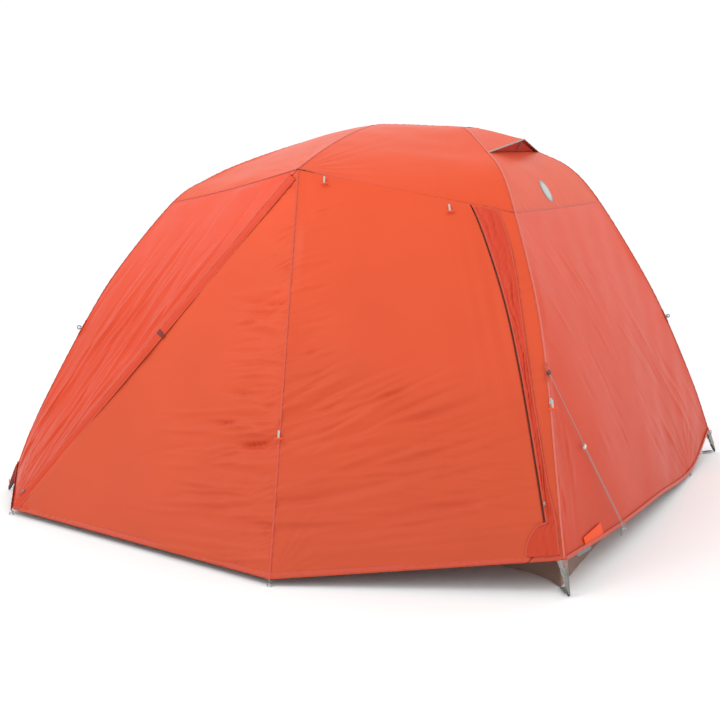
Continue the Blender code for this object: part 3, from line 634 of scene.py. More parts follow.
INNER_LOW, INNER_HIGH = 0.152, 1.565
for end, where in ENDS.items():
    left, right = corner_seam(LEFT, end), corner_seam(RIGHT, end)
    if end == BACK:
        grid = inner_panel(left, right, 0.0, 1.0, INNER_LOW, INNER_HIGH, 3)
        cloth("inner_wall_back", grid, "tent", inner_finish, "inner_cloth", ["inner_back"])
        continue
    cuts = {
        "beside_left": (0.0, door_side(-DOORWAY_HALF), DOORWAY_LOW, DOORWAY_TOP),
        "beside_right": (door_side(DOORWAY_HALF), 1.0, DOORWAY_LOW, DOORWAY_TOP),
        "above": (0.0, 1.0, DOORWAY_TOP, INNER_HIGH),
        "below": (0.0, 1.0, INNER_LOW, DOORWAY_LOW),
    }
    for word, (start, stop, low, high) in cuts.items():
        grid = inner_panel(left, right, start, stop, low, high, 5)
        cloth(f"inner_front_{word}", grid, "tent", inner_finish, "inner_cloth", ["inner_front"])
for side, hand in HANDS.items():
    grid = inner_panel(
        corner_seam(side, FRONT), corner_seam(side, BACK), 0.02, 0.98, INNER_LOW, INNER_HIGH, 7
    )
    cloth(f"inner_wall_{hand}", grid, "tent", inner_finish, "inner_cloth", [f"inner_{hand}"])

roll_ends = np.array([(-0.47, -1.0, 0.30), (-0.44, -0.79, 1.02)])
t = np.linspace(0, 1, 90)[:, None]
roll_line = roll_ends[0] * (1 - t) + roll_ends[1] * t + (0, 0, 0.04) * t * (1 - t)
turn = np.linspace(0, 2 * np.pi, 72, endpoint=False)
spiral = 0.0262 + 0.0012 * np.sin(3 * turn) - 0.0022 * (turn / (2 * np.pi))
spiral_loop = np.stack([np.cos(turn), np.sin(turn)], 1) * spiral[:, None]
pinch = (
    1 - 0.30 * np.exp(-(((t[:, 0] - 0.22) / 0.03) ** 2)) - 0.30 * np.exp(-(((t[:, 0] - 0.78) / 0.03) ** 2))
)
roll = sweep("door_roll", roll_line, spiral_loop, (0, -1, 0.2), pinch + 0.02 * np.sin(31 * t[:, 0]))
add("inner_door_rolled", roll, "tent", inner_finish, "inner_cloth", "inner_door_roll")

# ---------------------------------------------------------------- fly cloth
# Coated red nylon, cut in panels that meet on the poles. It is pulled tight, so it lies in
# long shallow waves, with puckers at its sewn seams and folds fanning out from its stakes.

# Colours of the fly cloth's height grade: painted light at the cap, painted shade at the hem.
RED_PAINTED_LIT, RED_PAINTED_SHADE = (0.76, 0.092, 0.032), (0.57, 0.084, 0.036)
PINK_PAINTED_SHEEN, PINK_PAINTED_SHADE = (0.76, 0.090, 0.044), (0.58, 0.050, 0.014)
SEAM_SAG = 0.009


def fly_finish(name, lit_colour, shaded_colour, top=1.5):
    """Fly cloth with painted light near the cap, where light falls through it, and painted shade towards
    its hem: its colour is graded by height.
    """
    made = cloth_finish(name, lit_colour, 0.38, 0.0009, 0.006, 0.04, 0.00012)
    height = made.node("ShaderNodeSeparateXYZ", {}, {0: made.node("ShaderNodeTexCoord", output=3)}, 2)
    graded = made.blend(height / top, (*shaded_colour, 1.0), (*lit_colour, 1.0))
    shade = made.shade * 0.16 + 0.90
    dimmed = made.node(
        "ShaderNodeVectorMath", {"operation": "SCALE"}, {0: graded, "Scale": shade}
    )
    made.set("Base Color", dimmed)
    return made


fly_red = fly_finish("fly_cloth", RED_PAINTED_LIT, RED_PAINTED_SHADE)
# A pinker copy of the same fly cloth for the walls and the left vestibule panel: painted sheen, with the
# same painted light-to-shade grade by height.
fly_light = fly_finish("fly_light", PINK_PAINTED_SHEEN, PINK_PAINTED_SHADE)


def straight(start, end, sag=0.0):
    """A line between two points, lowered in the middle by sag."""
    t = np.linspace(0, 1, 201)[:, None]
    return np.array(start) * (1 - t) + np.array(end) * t - (0, 0, 4 * sag) * t * (1 - t)


def ridge_line(side):
    """From the peak down to one hub."""
    t = np.linspace(0, 1, 201)
    hub_x, _, hub_z = LEG_TOP[side][-1]
    return np.stack([side * hub_x * t, 0 * t, PEAK + (hub_z - PEAK) * t**1.6], 1)


def brow_line(end):
    """From the peak out to the front or back tip of the brow."""
    y = np.linspace(0, BROW_REACH, 201)
    return evenly(np.stack([0 * y, end * y, PEAK - BROW_DROP * y**BROW_POWER], 1), 201)


BROW_TIP = {end: brow_line(end)[-1] for end in ENDS}


def coons(bottom, top, left, right, columns, rows, edge=0.0012):
    """A patch over four edge lines: the two ruled surfaces less the bilinear one."""
    width = max(np.linalg.norm(np.diff(line, axis=0), axis=1).sum() for line in (bottom, top))
    height = max(np.linalg.norm(np.diff(line, axis=0), axis=1).sum() for line in (left, right))
    u = np.linspace(edge / width, 1 - edge / width, columns)
    v = np.linspace(edge / height, 1 - edge / height, rows)
    u, v = np.meshgrid(u, v)
    u3, v3 = u[..., None], v[..., None]
    across = (1 - v3) * along(bottom, u) + v3 * along(top, u)
    upward = (1 - u3) * along(left, v) + u3 * along(right, v)
    low = (1 - u3) * bottom[0] + u3 * bottom[-1]
    high = (1 - u3) * top[0] + u3 * top[-1]
    return across + upward - (1 - v3) * low - v3 * high


def from_edges(grid, reach):
    """0 on the panel's four edges, rising to 1 a reach inside them."""
    across = np.cumsum(np.linalg.norm(np.diff(grid, axis=1, prepend=grid[:, :1]), axis=2), 1)
    down = np.cumsum(np.linalg.norm(np.diff(grid, axis=0, prepend=grid[:1]), axis=2), 0)
    near = np.minimum(np.minimum(across, across[:, -1:] - across), np.minimum(down, down[-1:] - down))
    return ease(near / reach)


def distance_to(grid, start, end):
    """(distance from a straight seam, distance along it) for each point."""
    start, end = np.asarray(start, float), np.asarray(end, float)
    run = unit(end - start)
    place = (grid - start) @ run
    return np.linalg.norm(grid - start - place[..., None] * run, axis=-1), place


def puckers(grid, start, end, pitch, reach, amount, seed, lean=0.0):
    """Ripples square to a seam, dying away from it: uneven waves along the seam's length.

    lean slants the ripples, in metres along the seam for each metre away from it.
    """
    away, place = distance_to(grid, start, end)
    place = place + lean * away
    draw = np.random.default_rng(seed)
    phase = draw.uniform(0, 2 * np.pi, 4)
    wave = np.sin(
        place * 2 * np.pi / pitch + 1.7 * np.sin(place * 2 * np.pi / (pitch * 5.3) + phase[0]) + phase[1]
    )
    strength = 0.5 + 0.5 * np.sin(place * 2 * np.pi / (pitch * 7.9) + phase[2])
    return amount * wave * strength * np.exp(-away / reach)


def fan(grid, point, folds, reach, amount, seed, start=0.03):
    """Folds radiating from a pulled point: waves of the angle round it, fading with distance."""
    offset = grid - np.asarray(point, float)
    distance = np.linalg.norm(offset, axis=-1)
    along_row = unit((grid[:, -1] - grid[:, 0]).sum(0))
    along_column = unit((grid[-1] - grid[0]).sum(0))
    angle = np.arctan2(offset @ along_column, offset @ along_row)
    draw = np.random.default_rng(seed)
    phase = draw.uniform(0, 2 * np.pi, 2)
    wave = np.sin(angle * folds + 1.3 * np.sin(angle * folds * 0.37 + phase[0]) + phase[1])
    return amount * wave * np.exp(-distance / reach) * ease(distance / start) * np.minimum(
        distance / 0.15, 1
    )


def wrinkles(place, spread, count, seed, slant, amount, width=0.008, reach=0.09, bow=0.4):
    """Small folds laid at random: each is a narrow bell across itself, and a long one along itself.

    place is two distances for each point, away from a seam and along it. spread gives the lowest
    and highest of the folds' middles in both. slant is their slope, or gives it from along.
    """
    away, along_seam = place
    draw = np.random.default_rng(seed)
    total = np.zeros_like(away)
    for _ in range(count):
        middle_away, middle_along = draw.uniform(*spread[0]), draw.uniform(*spread[1])
        slope = (slant(middle_along) if callable(slant) else slant) + draw.normal(0, 0.07)
        run = away - middle_away
        off = along_seam - middle_along - slope * run - draw.normal(0, bow) * run**2
        girth, length = width * draw.uniform(0.7, 1.7), reach * draw.uniform(0.5, 1.7)
        height = 1.9 * amount * draw.uniform(0.35, 1.0) * draw.choice((-1, 1))
        total += height * np.exp(-((off / girth) ** 2) - (run / length) ** 2)
    return total


def crease(grid, start, end, width, amount):
    """One long soft fold between two points: a bell across it, a half sine along it."""
    start, end = np.asarray(start, float), np.asarray(end, float)
    away, place = distance_to(grid, start, end)
    share = np.clip(place / np.linalg.norm(end - start), 0, 1)
    return amount * np.exp(-((away / width) ** 2)) * np.sin(np.pi * share)


def leg_down(side, end, top=CAP_HEIGHT):
    """The stretch of a leg seam from a height down to the hem."""
    return between(leg_line(side, end), HEM_HEIGHT, top)


def leg_up(side, end, low=CAP_HEIGHT):
    """The stretch of a leg seam from its hub down to a height."""
    line = leg_line(side, end)
    return between(line, low, line[-1, 2])


def fly_panel(name, grid, body, finish, nodes, relief=0.0, seed=1, billow=0.004):
    """One cut panel of the fly: slow swells and its own folds, held still along its seams."""
    grid = outward(grid)
    still = from_edges(grid, 0.05)
    swell = waves(grid, seed, 0.55, billow) + waves(grid, seed + 50, 0.16, billow * 0.22)
    return cloth(name, raised(grid, swell * still + relief), body, finish, finish.slot, nodes)


fly_red.slot, fly_light.slot = "fly_cloth", "fly_light"
COLUMNS, ROWS = 130, 150

for side, hand in HANDS.items():
    for end, where in ENDS.items():
        leg = leg_up(side, end)
        seam = straight(BROW_TIP[end], leg[-1], SEAM_SAG)
        grid = outward(coons(ridge_line(side), seam, brow_line(end), leg, COLUMNS, 100))
        folds = puckers(grid, seam[0], seam[-1], 0.035, 0.03, 0.0011, 11 + side) * from_edges(grid, 0.006)
        folds += fan(grid, seam[0], 22, 0.20, 0.0022, 13 + side) * from_edges(grid, 0.01)
        fly_panel(
            f"roof_{where}_{hand}_panel", grid, "tent", fly_red, [f"roof_{where}_{hand}"], folds,
            20 + side + end
        )

# The roof's two sides: the right one stops at the vent, and the left one runs to its hub.
for side, hand in HANDS.items():
    high = VENT_HEIGHT if side == RIGHT else LEG_TOP[LEFT][-1][2] - 0.004
    legs = [between(leg_line(side, end), CAP_HEIGHT, high) for end in (FRONT, BACK)]
    upper, lower = straight(legs[0][0], legs[1][0]), straight(legs[0][-1], legs[1][-1], 0.004)
    grid = outward(coons(upper, lower, legs[0], legs[1], COLUMNS, 90))
    folds = puckers(grid, lower[0], lower[-1], 0.04, 0.03, 0.001, 31) * from_edges(grid, 0.006)
    fly_panel(f"roof_{hand}_panel", grid, "tent", fly_red, [f"roof_{hand}"], folds, 33 + side)
    if side == RIGHT:
        roof_right_face = grid

# Side walls: the hem is drawn down to a stake towards the back, so long creases run to it.
STAKE_SIDE, HEM_AT_STAKE = np.array([1.400, 0.653, 0.0]), 0.022


def side_hem(side):
    """A side wall's hem, from the front leg through its low point at the stake to the back leg."""
    corner = at_height(leg_line(RIGHT, FRONT), HEM_HEIGHT)
    staked = (STAKE_SIDE[0], STAKE_SIDE[1], HEM_AT_STAKE)
    run = (corner, (1.405, -0.607, 0.095), (1.412, 0.0, 0.068), staked, corner * (1, -1, 1))
    return evenly(smooth(run) * (side, 1, 1), 201)


for side, hand in HANDS.items():
    legs = [leg_down(side, end) for end in (FRONT, BACK)]
    seam, hem = straight(legs[0][0], legs[1][0], 0.004), side_hem(side)
    grid = outward(coons(seam, hem, legs[0], legs[1], 150, ROWS))
    inside = from_edges(grid, 0.01)
    stake = STAKE_SIDE * (side, 1, 1) + (0, 0, HEM_AT_STAKE)
    folds = fan(grid, stake, 17, 0.16, 0.0040, 41) + fan(grid, hem[-1], 14, 0.14, 0.0030, 43)
    place = distance_to(grid, legs[0][0], legs[0][-1])
    folds += wrinkles(place, ((0.05, 0.75), (0.02, 0.95)), 34, 44, 0.9, 0.0016, 0.007, 0.06, 0.2)
    folds += wrinkles(place, ((0.9, 2.0), (0.2, 1.2)), 24, 46, 0.5, 0.0022, 0.012, 0.14, 0.2)
    folds += wrinkles(place, ((0.02, 0.16), (0.85, 1.32)), 16, 47, 6.0, 0.0020, 0.030, 0.015, 0.0)
    fly_panel(
        f"wall_{hand}_panel", grid, "tent", fly_light, [f"wall_{hand}"], folds * inside, 45 + side, 0.006
    )
    if side == RIGHT:
        wall_right_face = grid

# Rear panels meet at a centre seam that comes down from the brow to the rear stake.
STAKE_REAR = np.array([0.0, 1.45, HEM_AT_STAKE])
for side, hand in HANDS.items():
    leg = leg_down(side, BACK)
    seam = straight(BROW_TIP[BACK], leg[0], SEAM_SAG)
    grid = coons(
        seam, straight(STAKE_REAR, leg[-1]), straight(BROW_TIP[BACK], STAKE_REAR), leg, COLUMNS, ROWS
    )
    grid = outward(grid)
    folds = puckers(grid, BROW_TIP[BACK], STAKE_REAR, 0.032, 0.04, 0.0016, 51 + side, 0.3)
    folds += fan(grid, STAKE_REAR, 20, 0.16, 0.004, 52 + side) + fan(grid, leg[-1], 16, 0.14, 0.003, 53)
    place = distance_to(grid, BROW_TIP[BACK], STAKE_REAR)
    folds += wrinkles(place, ((0.02, 0.35), (0.4, 1.6)), 60, 56 + side, -0.1, 0.0028, 0.009, 0.08)
    folds += wrinkles(place, ((0.3, 1.1), (0.8, 1.6)), 26, 58 + side, 0.3, 0.0030, 0.014, 0.16)
    folds += puckers(grid, leg[0], leg[-1], 0.05, 0.06, 0.0013, 54)
    inside = from_edges(grid, 0.01)
    fly_panel(
        f"rear_{hand}_panel", grid, "tent", fly_red, [f"rear_{hand}"], folds * inside, 55 + side, 0.006
    )

# The vestibule's left panel, between its zip and the left leg. It hangs in upright folds.
STAKE_FRONT_LEFT = np.array([-1.111, -1.458, HEM_AT_STAKE])
leg = leg_down(LEFT, FRONT)
seam = straight(BROW_TIP[FRONT], leg[0], SEAM_SAG)
grid = coons(
    seam, straight(STAKE_FRONT_LEFT, leg[-1]), straight(BROW_TIP[FRONT], STAKE_FRONT_LEFT), leg, 170, 160
)
grid = outward(grid)
inside = from_edges(grid, 0.01)
folds = (
    fan(grid, STAKE_FRONT_LEFT, 24, 0.20, 0.0040, 61, 0.05)
    + puckers(grid, leg[0], leg[-1], 0.05, 0.04, 0.0010, 64)
)
fall = distance_to(grid, BROW_TIP[FRONT], STAKE_FRONT_LEFT)
upright = (fall[1] - 0.55 * fall[0], fall[0])
folds += wrinkles(upright, ((0.75, 1.65), (0.03, 0.45)), 46, 62, -0.13, 0.0034, 0.009, 0.30, 0.05)
folds += wrinkles(upright, ((0.45, 1.1), (0.15, 0.75)), 40, 66, -0.05, 0.0016, 0.009, 0.12, 0.1)
fly_panel("vestibule_left_panel", grid, "tent", fly_light, ["vestibule_left"], folds * inside, 65, 0.007)

# The vent hood is the top of the right roof, whose lower edge a short prop holds open.
VENT_TIP = np.array([0.723, 0.0, 1.655])
hub_top = LEG_TOP[RIGHT][-1][2] - 0.004
legs = [between(leg_line(RIGHT, end), VENT_HEIGHT, hub_top) for end in (FRONT, BACK)]
vent_edge = np.vstack([legs[0][-1], VENT_TIP, legs[1][-1]])
mouth = evenly(vent_edge, 201)
grid = outward(coons(straight(legs[0][0], legs[1][0]), mouth, legs[0], legs[1], 110, 60))
hood = fly_panel("vent_hood_cloth", grid, "tent", fly_red, ["vent_hood"], 0.0, 71, 0.002)
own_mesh(hood)

# ---------------------------------------------------------------- vestibule door
# The door is a left triangle and a main face, sewn together at the front seam. Its top edge
# is the seam under the brow, and a zip runs down each side.

STAKE_FRONT = np.array([0.383, -1.631, HEM_AT_STAKE])
ZIP_SHARE_TOP, ZIP_SHARE_GAIN, ZIP_ROUND_FROM, ZIP_ROUND = 0.79, 0.165, 0.90, 8.3
DOOR_TOP, DOOR_LOW = 0.004, 0.997
FRONT_LEG = leg_down(RIGHT, FRONT)
TIP = BROW_TIP[FRONT]


def front_face(share, drop):
    """The vestibule's main face, ruled from its seam (share 0) to the leg (share 1)."""
    share, drop = np.broadcast_arrays(np.asarray(share, float), np.asarray(drop, float))
    seam = TIP + (STAKE_FRONT - TIP) * drop[..., None]
    return (1 - share[..., None]) * seam + share[..., None] * along(FRONT_LEG, drop)


def zip_share(drop):
    """Where the right-hand zip lies on the main face, with its rounded foot."""
    past = np.maximum(0, drop - ZIP_ROUND_FROM)
    return ZIP_SHARE_TOP + ZIP_SHARE_GAIN * drop**0.6 - ZIP_ROUND * past**2


def left_zip(drop):
    return TIP + (STAKE_FRONT_LEFT - TIP) * np.asarray(drop, float)[..., None]


def face_width(drop):
    return np.linalg.norm(front_face(0.0, drop) - front_face(1.0, drop), axis=-1)


SEAM_GAP = 0.003


def sweep_up(down):
    """The slope of the door's folds by how far down they lie: steepest high up, level low down."""
    return -0.42 + 0.40 * (down - 1.0) / 0.7


FINE_COLUMNS, FINE_ROWS = 160, 260
drop = np.linspace(DOOR_TOP, DOOR_LOW, FINE_ROWS)[:, None]
share = np.linspace(0, 1, FINE_COLUMNS)[None] * (zip_share(drop) - SEAM_GAP / face_width(drop))
grid = outward(front_face(share, np.broadcast_to(drop, share.shape)))
inside = from_edges(grid, 0.012)
folds = puckers(grid, TIP, STAKE_FRONT, 0.026, 0.035, 0.0016, 81, 0.2)
place = distance_to(grid, TIP, STAKE_FRONT)
folds += wrinkles(place, ((0.05, 0.75), (1.00, 1.66)), 74, 82, sweep_up, 0.0036, 0.011, 0.15, 0.25)
folds += wrinkles(place, ((0.02, 0.45), (0.95, 1.35)), 40, 83, -0.45, 0.0026, 0.008, 0.07)
folds += wrinkles(place, ((0.50, 0.95), (1.15, 1.50)), 44, 84, 0.0, 0.0018, 0.007, 0.06)
folds += wrinkles(place, ((0.02, 0.16), (0.15, 0.95)), 42, 85, -0.25, 0.0016, 0.007, 0.035)
folds += fan(grid, STAKE_FRONT, 26, 0.14, 0.0030, 88, 0.05)
for at, amount in ((0.86, 0.003), (0.90, -0.003), (0.80, 0.0025)):
    folds += crease(grid, front_face(at - 0.08, 0.05), front_face(at, 0.72), 0.016, amount)
folds += crease(grid, front_face(0.05, 0.95), front_face(0.95, 0.915), 0.014, 0.006)
fly_panel("door_main_panel", grid, "door", fly_red, ["vestibule_door"], folds * inside, 86, 0.006)

width = np.linalg.norm(left_zip(drop) - front_face(0.0, drop), axis=-1)
share = np.linspace(1, 0, FINE_COLUMNS)[None] * (1 - SEAM_GAP / width)
grid = outward(left_zip(drop) * share[..., None] + front_face(0.0, drop) * (1 - share[..., None]))
inside = from_edges(grid, 0.012)
folds = puckers(grid, TIP, STAKE_FRONT, 0.024, 0.07, 0.0034, 91, -0.25)
place = distance_to(grid, TIP, STAKE_FRONT)
folds += wrinkles(place, ((0.01, 0.22), (0.55, 1.70)), 110, 92, -0.10, 0.0034, 0.008, 0.07)
folds += wrinkles(place, ((0.10, 0.50), (1.05, 1.70)), 54, 93, -0.16, 0.0032, 0.010, 0.13, 0.25)
folds += wrinkles(place, ((0.02, 0.30), (1.10, 1.25)), 14, 94, 0.02, 0.0050, 0.010, 0.10, 0.2)
folds += wrinkles(place, ((0.01, 0.10), (0.10, 0.60)), 24, 95, 0.3, 0.0015, 0.007, 0.03)
folds += fan(grid, STAKE_FRONT_LEFT, 20, 0.12, 0.003, 97) + fan(grid, STAKE_FRONT, 22, 0.12, 0.003, 98)
fly_panel("door_left_panel", grid, "door", fly_red, ["vestibule_door"], folds * inside, 96, 0.006)

# The narrow strip that stays on the leg when the door is open.
share = zip_share(drop) + SEAM_GAP / face_width(drop)
share = share + np.linspace(0, 1, 40)[None] * (1 - SEAM_GAP / face_width(drop) - share)
grid = outward(front_face(share, np.broadcast_to(drop, share.shape)))
folds = puckers(grid, FRONT_LEG[0], FRONT_LEG[-1], 0.06, 0.08, 0.002, 97, 0.6) * from_edges(grid, 0.008)
fly_panel("vestibule_right_panel", grid, "tent", fly_red, ["vestibule_right"], folds, 98, 0.003)

# ---------------------------------------------------------------- seams and hems
# Each seam is folded over twice and sewn with two rows of thread, which leaves a raised
# ribbon a little darker than the cloth. The hems are rolled and sewn in the same way.


def band_section(width, thick, points=14):
    """A flat bar with soft edges: a circle whose sine and cosine are drawn towards 1."""
    turn = np.linspace(0, 2 * np.pi, points, endpoint=False)
    across = np.sign(np.cos(turn)) * np.abs(np.cos(turn)) ** 0.5 * width / 2
    up = np.sign(np.sin(turn)) * np.abs(np.sin(turn)) ** 0.8 * thick / 2
    return np.stack([across, up], 1)


def stitched_finish(name, colour, width, pitch=0.0042, thread=1.25, roughness=0.5):
    """Folded cloth with a row of stitches near each edge: dashes along the piece's own length."""
    made = Finish(name, colour, roughness, Sheen_Weight=0.1)
    across, up = made.along()
    row = ((across.part(width) - 0.5).size() - 0.34).size().below(0.045)
    dash = up.part(pitch).below(0.62)
    weave = across.wave(0.0009) * up.wave(0.0009)
    made.set("Base Color", made.tint(row * dash * 0.8 + made.noise(60.0) * 0.2, 0.84, thread))
    made.bump(row * dash * 2.0 - row * 1.2 + weave * 0.25 + made.noise(160.0) * 0.9, 0.0007, 0.8)
    return made


SEAM_WIDTH, SEAM_THICK, HEM_WIDTH = 0.009, 0.0016, 0.018
seam_red = stitched_finish("seam_red", (0.70, 0.072, 0.028), SEAM_WIDTH)
# A lighter copy of the seam finish: painted highlight for the front right leg seam.
seam_painted_highlight = stitched_finish("seam_painted_highlight", (0.84, 0.17, 0.12), SEAM_WIDTH, thread=1.1)
hem_red = stitched_finish("hem_red", (0.68, 0.072, 0.026), HEM_WIDTH)


def seam_tape(name, line, out, tone=seam_red, count=240):
    """A seam of the fly, flat-felled and stitched."""
    return ribbon(name, line, out, SEAM_WIDTH, SEAM_THICK, "tent", tone, "fly_cloth", count=count)


def hem_tape(name, line, out, thick, body, count=240):
    """A hem of the fly, turned up and stitched."""
    return ribbon(name, line, out, HEM_WIDTH, thick, body, hem_red, "fly_cloth", count=count)


def ribbon(name, line, out, width, thick, body, finish, slot, *nodes, count=240, sink=0.0, rumple=0.0006):
    """A sewn ribbon along a line, lying square to out, with small uneven puckers."""
    line = np.asarray(line, float)
    out = np.broadcast_to(out, line.shape)
    marks = np.concatenate([[0], np.cumsum(np.linalg.norm(np.diff(line, axis=0), axis=1))])
    places = np.linspace(0, marks[-1], count)
    line, out = (
        np.stack([np.interp(places, marks, part[:, axis]) for axis in range(3)], 1) for part in (line, out)
    )
    out = unit(out)
    run = np.linspace(0, 1, count) * np.linalg.norm(np.diff(line, axis=0), axis=1).sum()
    bob = np.sin(run * 2 * np.pi / 0.031 + 2 * np.sin(run * 41)) * rumple
    line = line + out * (bob - sink)[:, None]
    mesh = sweep(name, line, band_section(width, thick), out, 1 + 0.04 * np.sin(run * 2 * np.pi / 0.047))
    return add(name, mesh, body, finish, slot, *nodes)


def from_heart(line):
    return unit(np.asarray(line) - HEART)


for side, hand in HANDS.items():
    line = ridge_line(side)
    seam_tape(f"ridge_seam_{hand}", line, (0, 0, 1))
    for end, where in ENDS.items():
        line = leg_line(side, end)
        line = between(line, HEM_HEIGHT, line[-1, 2])
        # The front right leg seam takes the painted highlight copy.
        tone = seam_painted_highlight if (side, end) == (RIGHT, FRONT) else seam_red
        seam_tape(f"leg_seam_{where}_{hand}", line, from_heart(line), tone, count=250)
        line = straight(BROW_TIP[end], leg_up(side, end)[-1], SEAM_SAG)
        seam_tape(f"cap_seam_{where}_{hand}", line, from_heart(line))
    legs = [leg_down(side, end) for end in (FRONT, BACK)]
    line = straight(legs[0][0], legs[1][0], 0.004)
    seam_tape(f"side_seam_{hand}", line, (side, 0, 0.45))
    line = side_hem(side) + (0, 0, HEM_WIDTH / 2)
    ribbon(
        f"wall_hem_{hand}", line, (side, 0, 0.1), HEM_WIDTH, 0.0026, "tent", hem_red, "fly_light", count=220
    )
    line = straight(STAKE_REAR, leg_down(side, BACK)[-1]) + (0, 0, HEM_WIDTH / 2)
    hem_tape(f"rear_hem_{hand}", line, (side * 0.25, 1, 0.1), 0.0026, "tent", count=190)
for end, where in ENDS.items():
    seam_tape(f"brow_seam_{where}", brow_line(end), (0, 0, 1))
seam_tape("rear_seam", straight(BROW_TIP[BACK], STAKE_REAR), (0, 1, 0.5), count=220)
line = straight(STAKE_FRONT_LEFT, leg_down(LEFT, FRONT)[-1]) + (0, 0, HEM_WIDTH / 2)
ribbon("vestibule_left_hem", line, (-1, -0.4, 0.1), HEM_WIDTH, 0.0026, "tent", hem_red, "fly_light")

front_seam = straight(front_face(0.0, 0.006), front_face(0.0, 0.997))
ribbon(
    "front_seam", front_seam, (-0.05, -1, 0.5), SEAM_WIDTH, 0.002, "door", seam_red, "fly_cloth", count=250
)
low_shares = np.linspace(0, zip_share(0.985), 60)
right_part = front_face(low_shares, 0.989)
left_part = straight(left_zip(0.989), front_face(0.0, 0.989))
hem_tape("door_hem_left", left_part, (-0.1, -1, 0.45), 0.003, "door", count=190)
hem_tape("door_hem_right", right_part, (0.35, -1, 0.45), 0.003, "door", count=170)
strip_hem = front_face(np.linspace(zip_share(0.985) + 0.01, 0.997, 30), 0.989)
hem_tape("strip_hem", strip_hem, (0.4, -1, 0.45), 0.003, "tent", count=90)

# ---------------------------------------------------------------- left door zip
# A coil zip on dark red tape, under a storm flap about three centimetres wide that is sewn
# to the door and held down half way by a tab of hook tape.

CHAIN_RADIUS = 0.0021
zip_finish = Finish("zip_coil", (0.14, 0.030, 0.022), 0.55)
coil_across, coil_up = zip_finish.along()
coil = (coil_up + coil_across * 0.4).wave(0.0016)
zip_finish.set("Base Color", zip_finish.tint(coil * 0.5 + 0.5, 0.5, 1.5))
zip_finish.bump(coil, 0.0006, 1.0)
tape_finish = stitched_finish("zip_tape", (0.20, 0.030, 0.018), 0.024, roughness=0.75)
hook_finish = Finish("hook_tape", (0.20, 0.036, 0.026), 0.9)
hook_finish.bump(hook_finish.noise(1400.0, 1.0), 0.0008, 1.0)

LEFT_OUT = unit(np.cross(STAKE_FRONT_LEFT - TIP, STAKE_FRONT - TIP))
LEFT_OUT = LEFT_OUT * -np.sign(LEFT_OUT[1])
ACROSS_LEFT = unit(np.cross(LEFT_OUT, STAKE_FRONT_LEFT - TIP))
ACROSS_LEFT = ACROSS_LEFT * np.sign(ACROSS_LEFT @ (STAKE_FRONT - STAKE_FRONT_LEFT))
chain_line = left_zip(np.linspace(0.02, 0.985, 300))
mesh = sweep("left_chain", chain_line, ring_of(CHAIN_RADIUS, 12), LEFT_OUT)
add("left_zip_coil", mesh, "tent", zip_finish, "zip_tape", "left_zip_chain")
ribbon(
    "left_zip_tape", chain_line - LEFT_OUT * 0.002, LEFT_OUT, 0.024, 0.0012, "tent", tape_finish,
    "zip_tape", count=190
)


def left_flap(across, drop):
    """The storm flap: across runs from its free edge, past the zip, to the edge sewn to the door.

    It bulges as a half sine over the zip, and its free edge flutters with three unlike waves.
    """
    flutter = np.sin(drop * 37) + 0.7 * np.sin(drop * 83 + 1) + 0.5 * np.sin(drop * 151)
    place = -0.009 + FLAP_WIDTH * across + (1 - across) * 0.0009 * flutter
    lift = 0.0028 + 0.0042 * np.sin(np.pi * np.clip(across * 1.08, 0, 1)) ** 0.7
    lift = lift + (1 - across) * 0.0022 + 0.0009 * flutter * np.sin(np.pi * across)
    return left_zip(drop) + ACROSS_LEFT * place[..., None] + LEFT_OUT * lift[..., None]


FLAP_WIDTH = 0.040
across, drop = np.meshgrid(np.linspace(0, 1, 16), np.linspace(0.022, 0.984, 360))
# The storm flap is the fly cloth in a darker copy: painted shade, with the fly's painted grade by height.
flap_painted_shade = fly_finish("flap_painted_shade", (0.70, 0.070, 0.030), (0.60, 0.062, 0.026))
flap_painted_shade.slot = "fly_cloth"
cloth("left_zip_flap", left_flap(across, drop), "door", flap_painted_shade, "fly_cloth")
edge_drop = np.linspace(0.022, 0.984, 400)
for word, at in (("sewn", 0.97), ("free", 0.03)):
    edge = left_flap(np.full(400, at), edge_drop) + LEFT_OUT * 0.0010
    ribbon(
        f"left_flap_{word}_edge", edge, LEFT_OUT, 0.006, 0.0016, "door", seam_red, "fly_cloth", count=240
    )
HOOK_AT = 0.47
run = unit(STAKE_FRONT_LEFT - TIP)
tab_line = left_flap(np.linspace(0.02, 1.15, 24), np.full(24, HOOK_AT)) + LEFT_OUT * 0.002
ribbon(
    "left_hook_tape", tab_line, LEFT_OUT, 0.022, 0.002, "door", hook_finish, "zip_tape", count=40,
    rumple=0.0002
)
corner_share, corner_drop = np.meshgrid(np.linspace(0, 1, 24), np.linspace(0.0, 1.0, 24))
brace_drop = 0.925 + 0.064 * corner_drop
brace = (
    left_zip(brace_drop)
    + (front_face(0.0, brace_drop) - left_zip(brace_drop)) * (0.07 * corner_share * corner_drop)[..., None]
)
cloth("left_corner_brace", brace + LEFT_OUT * 0.0022, "door", flap_painted_shade, "fly_cloth")

metal = Finish("slider_metal", (0.34, 0.34, 0.36), 0.35, 0.85)
metal.set("Roughness", metal.noise(300.0) * 0.25 + 0.25)
metal.bump(metal.noise(700.0), 0.0002, 0.3)
pull_finish = braid_finish("pull_cord", (0.62, 0.08, 0.02), 0.0018)


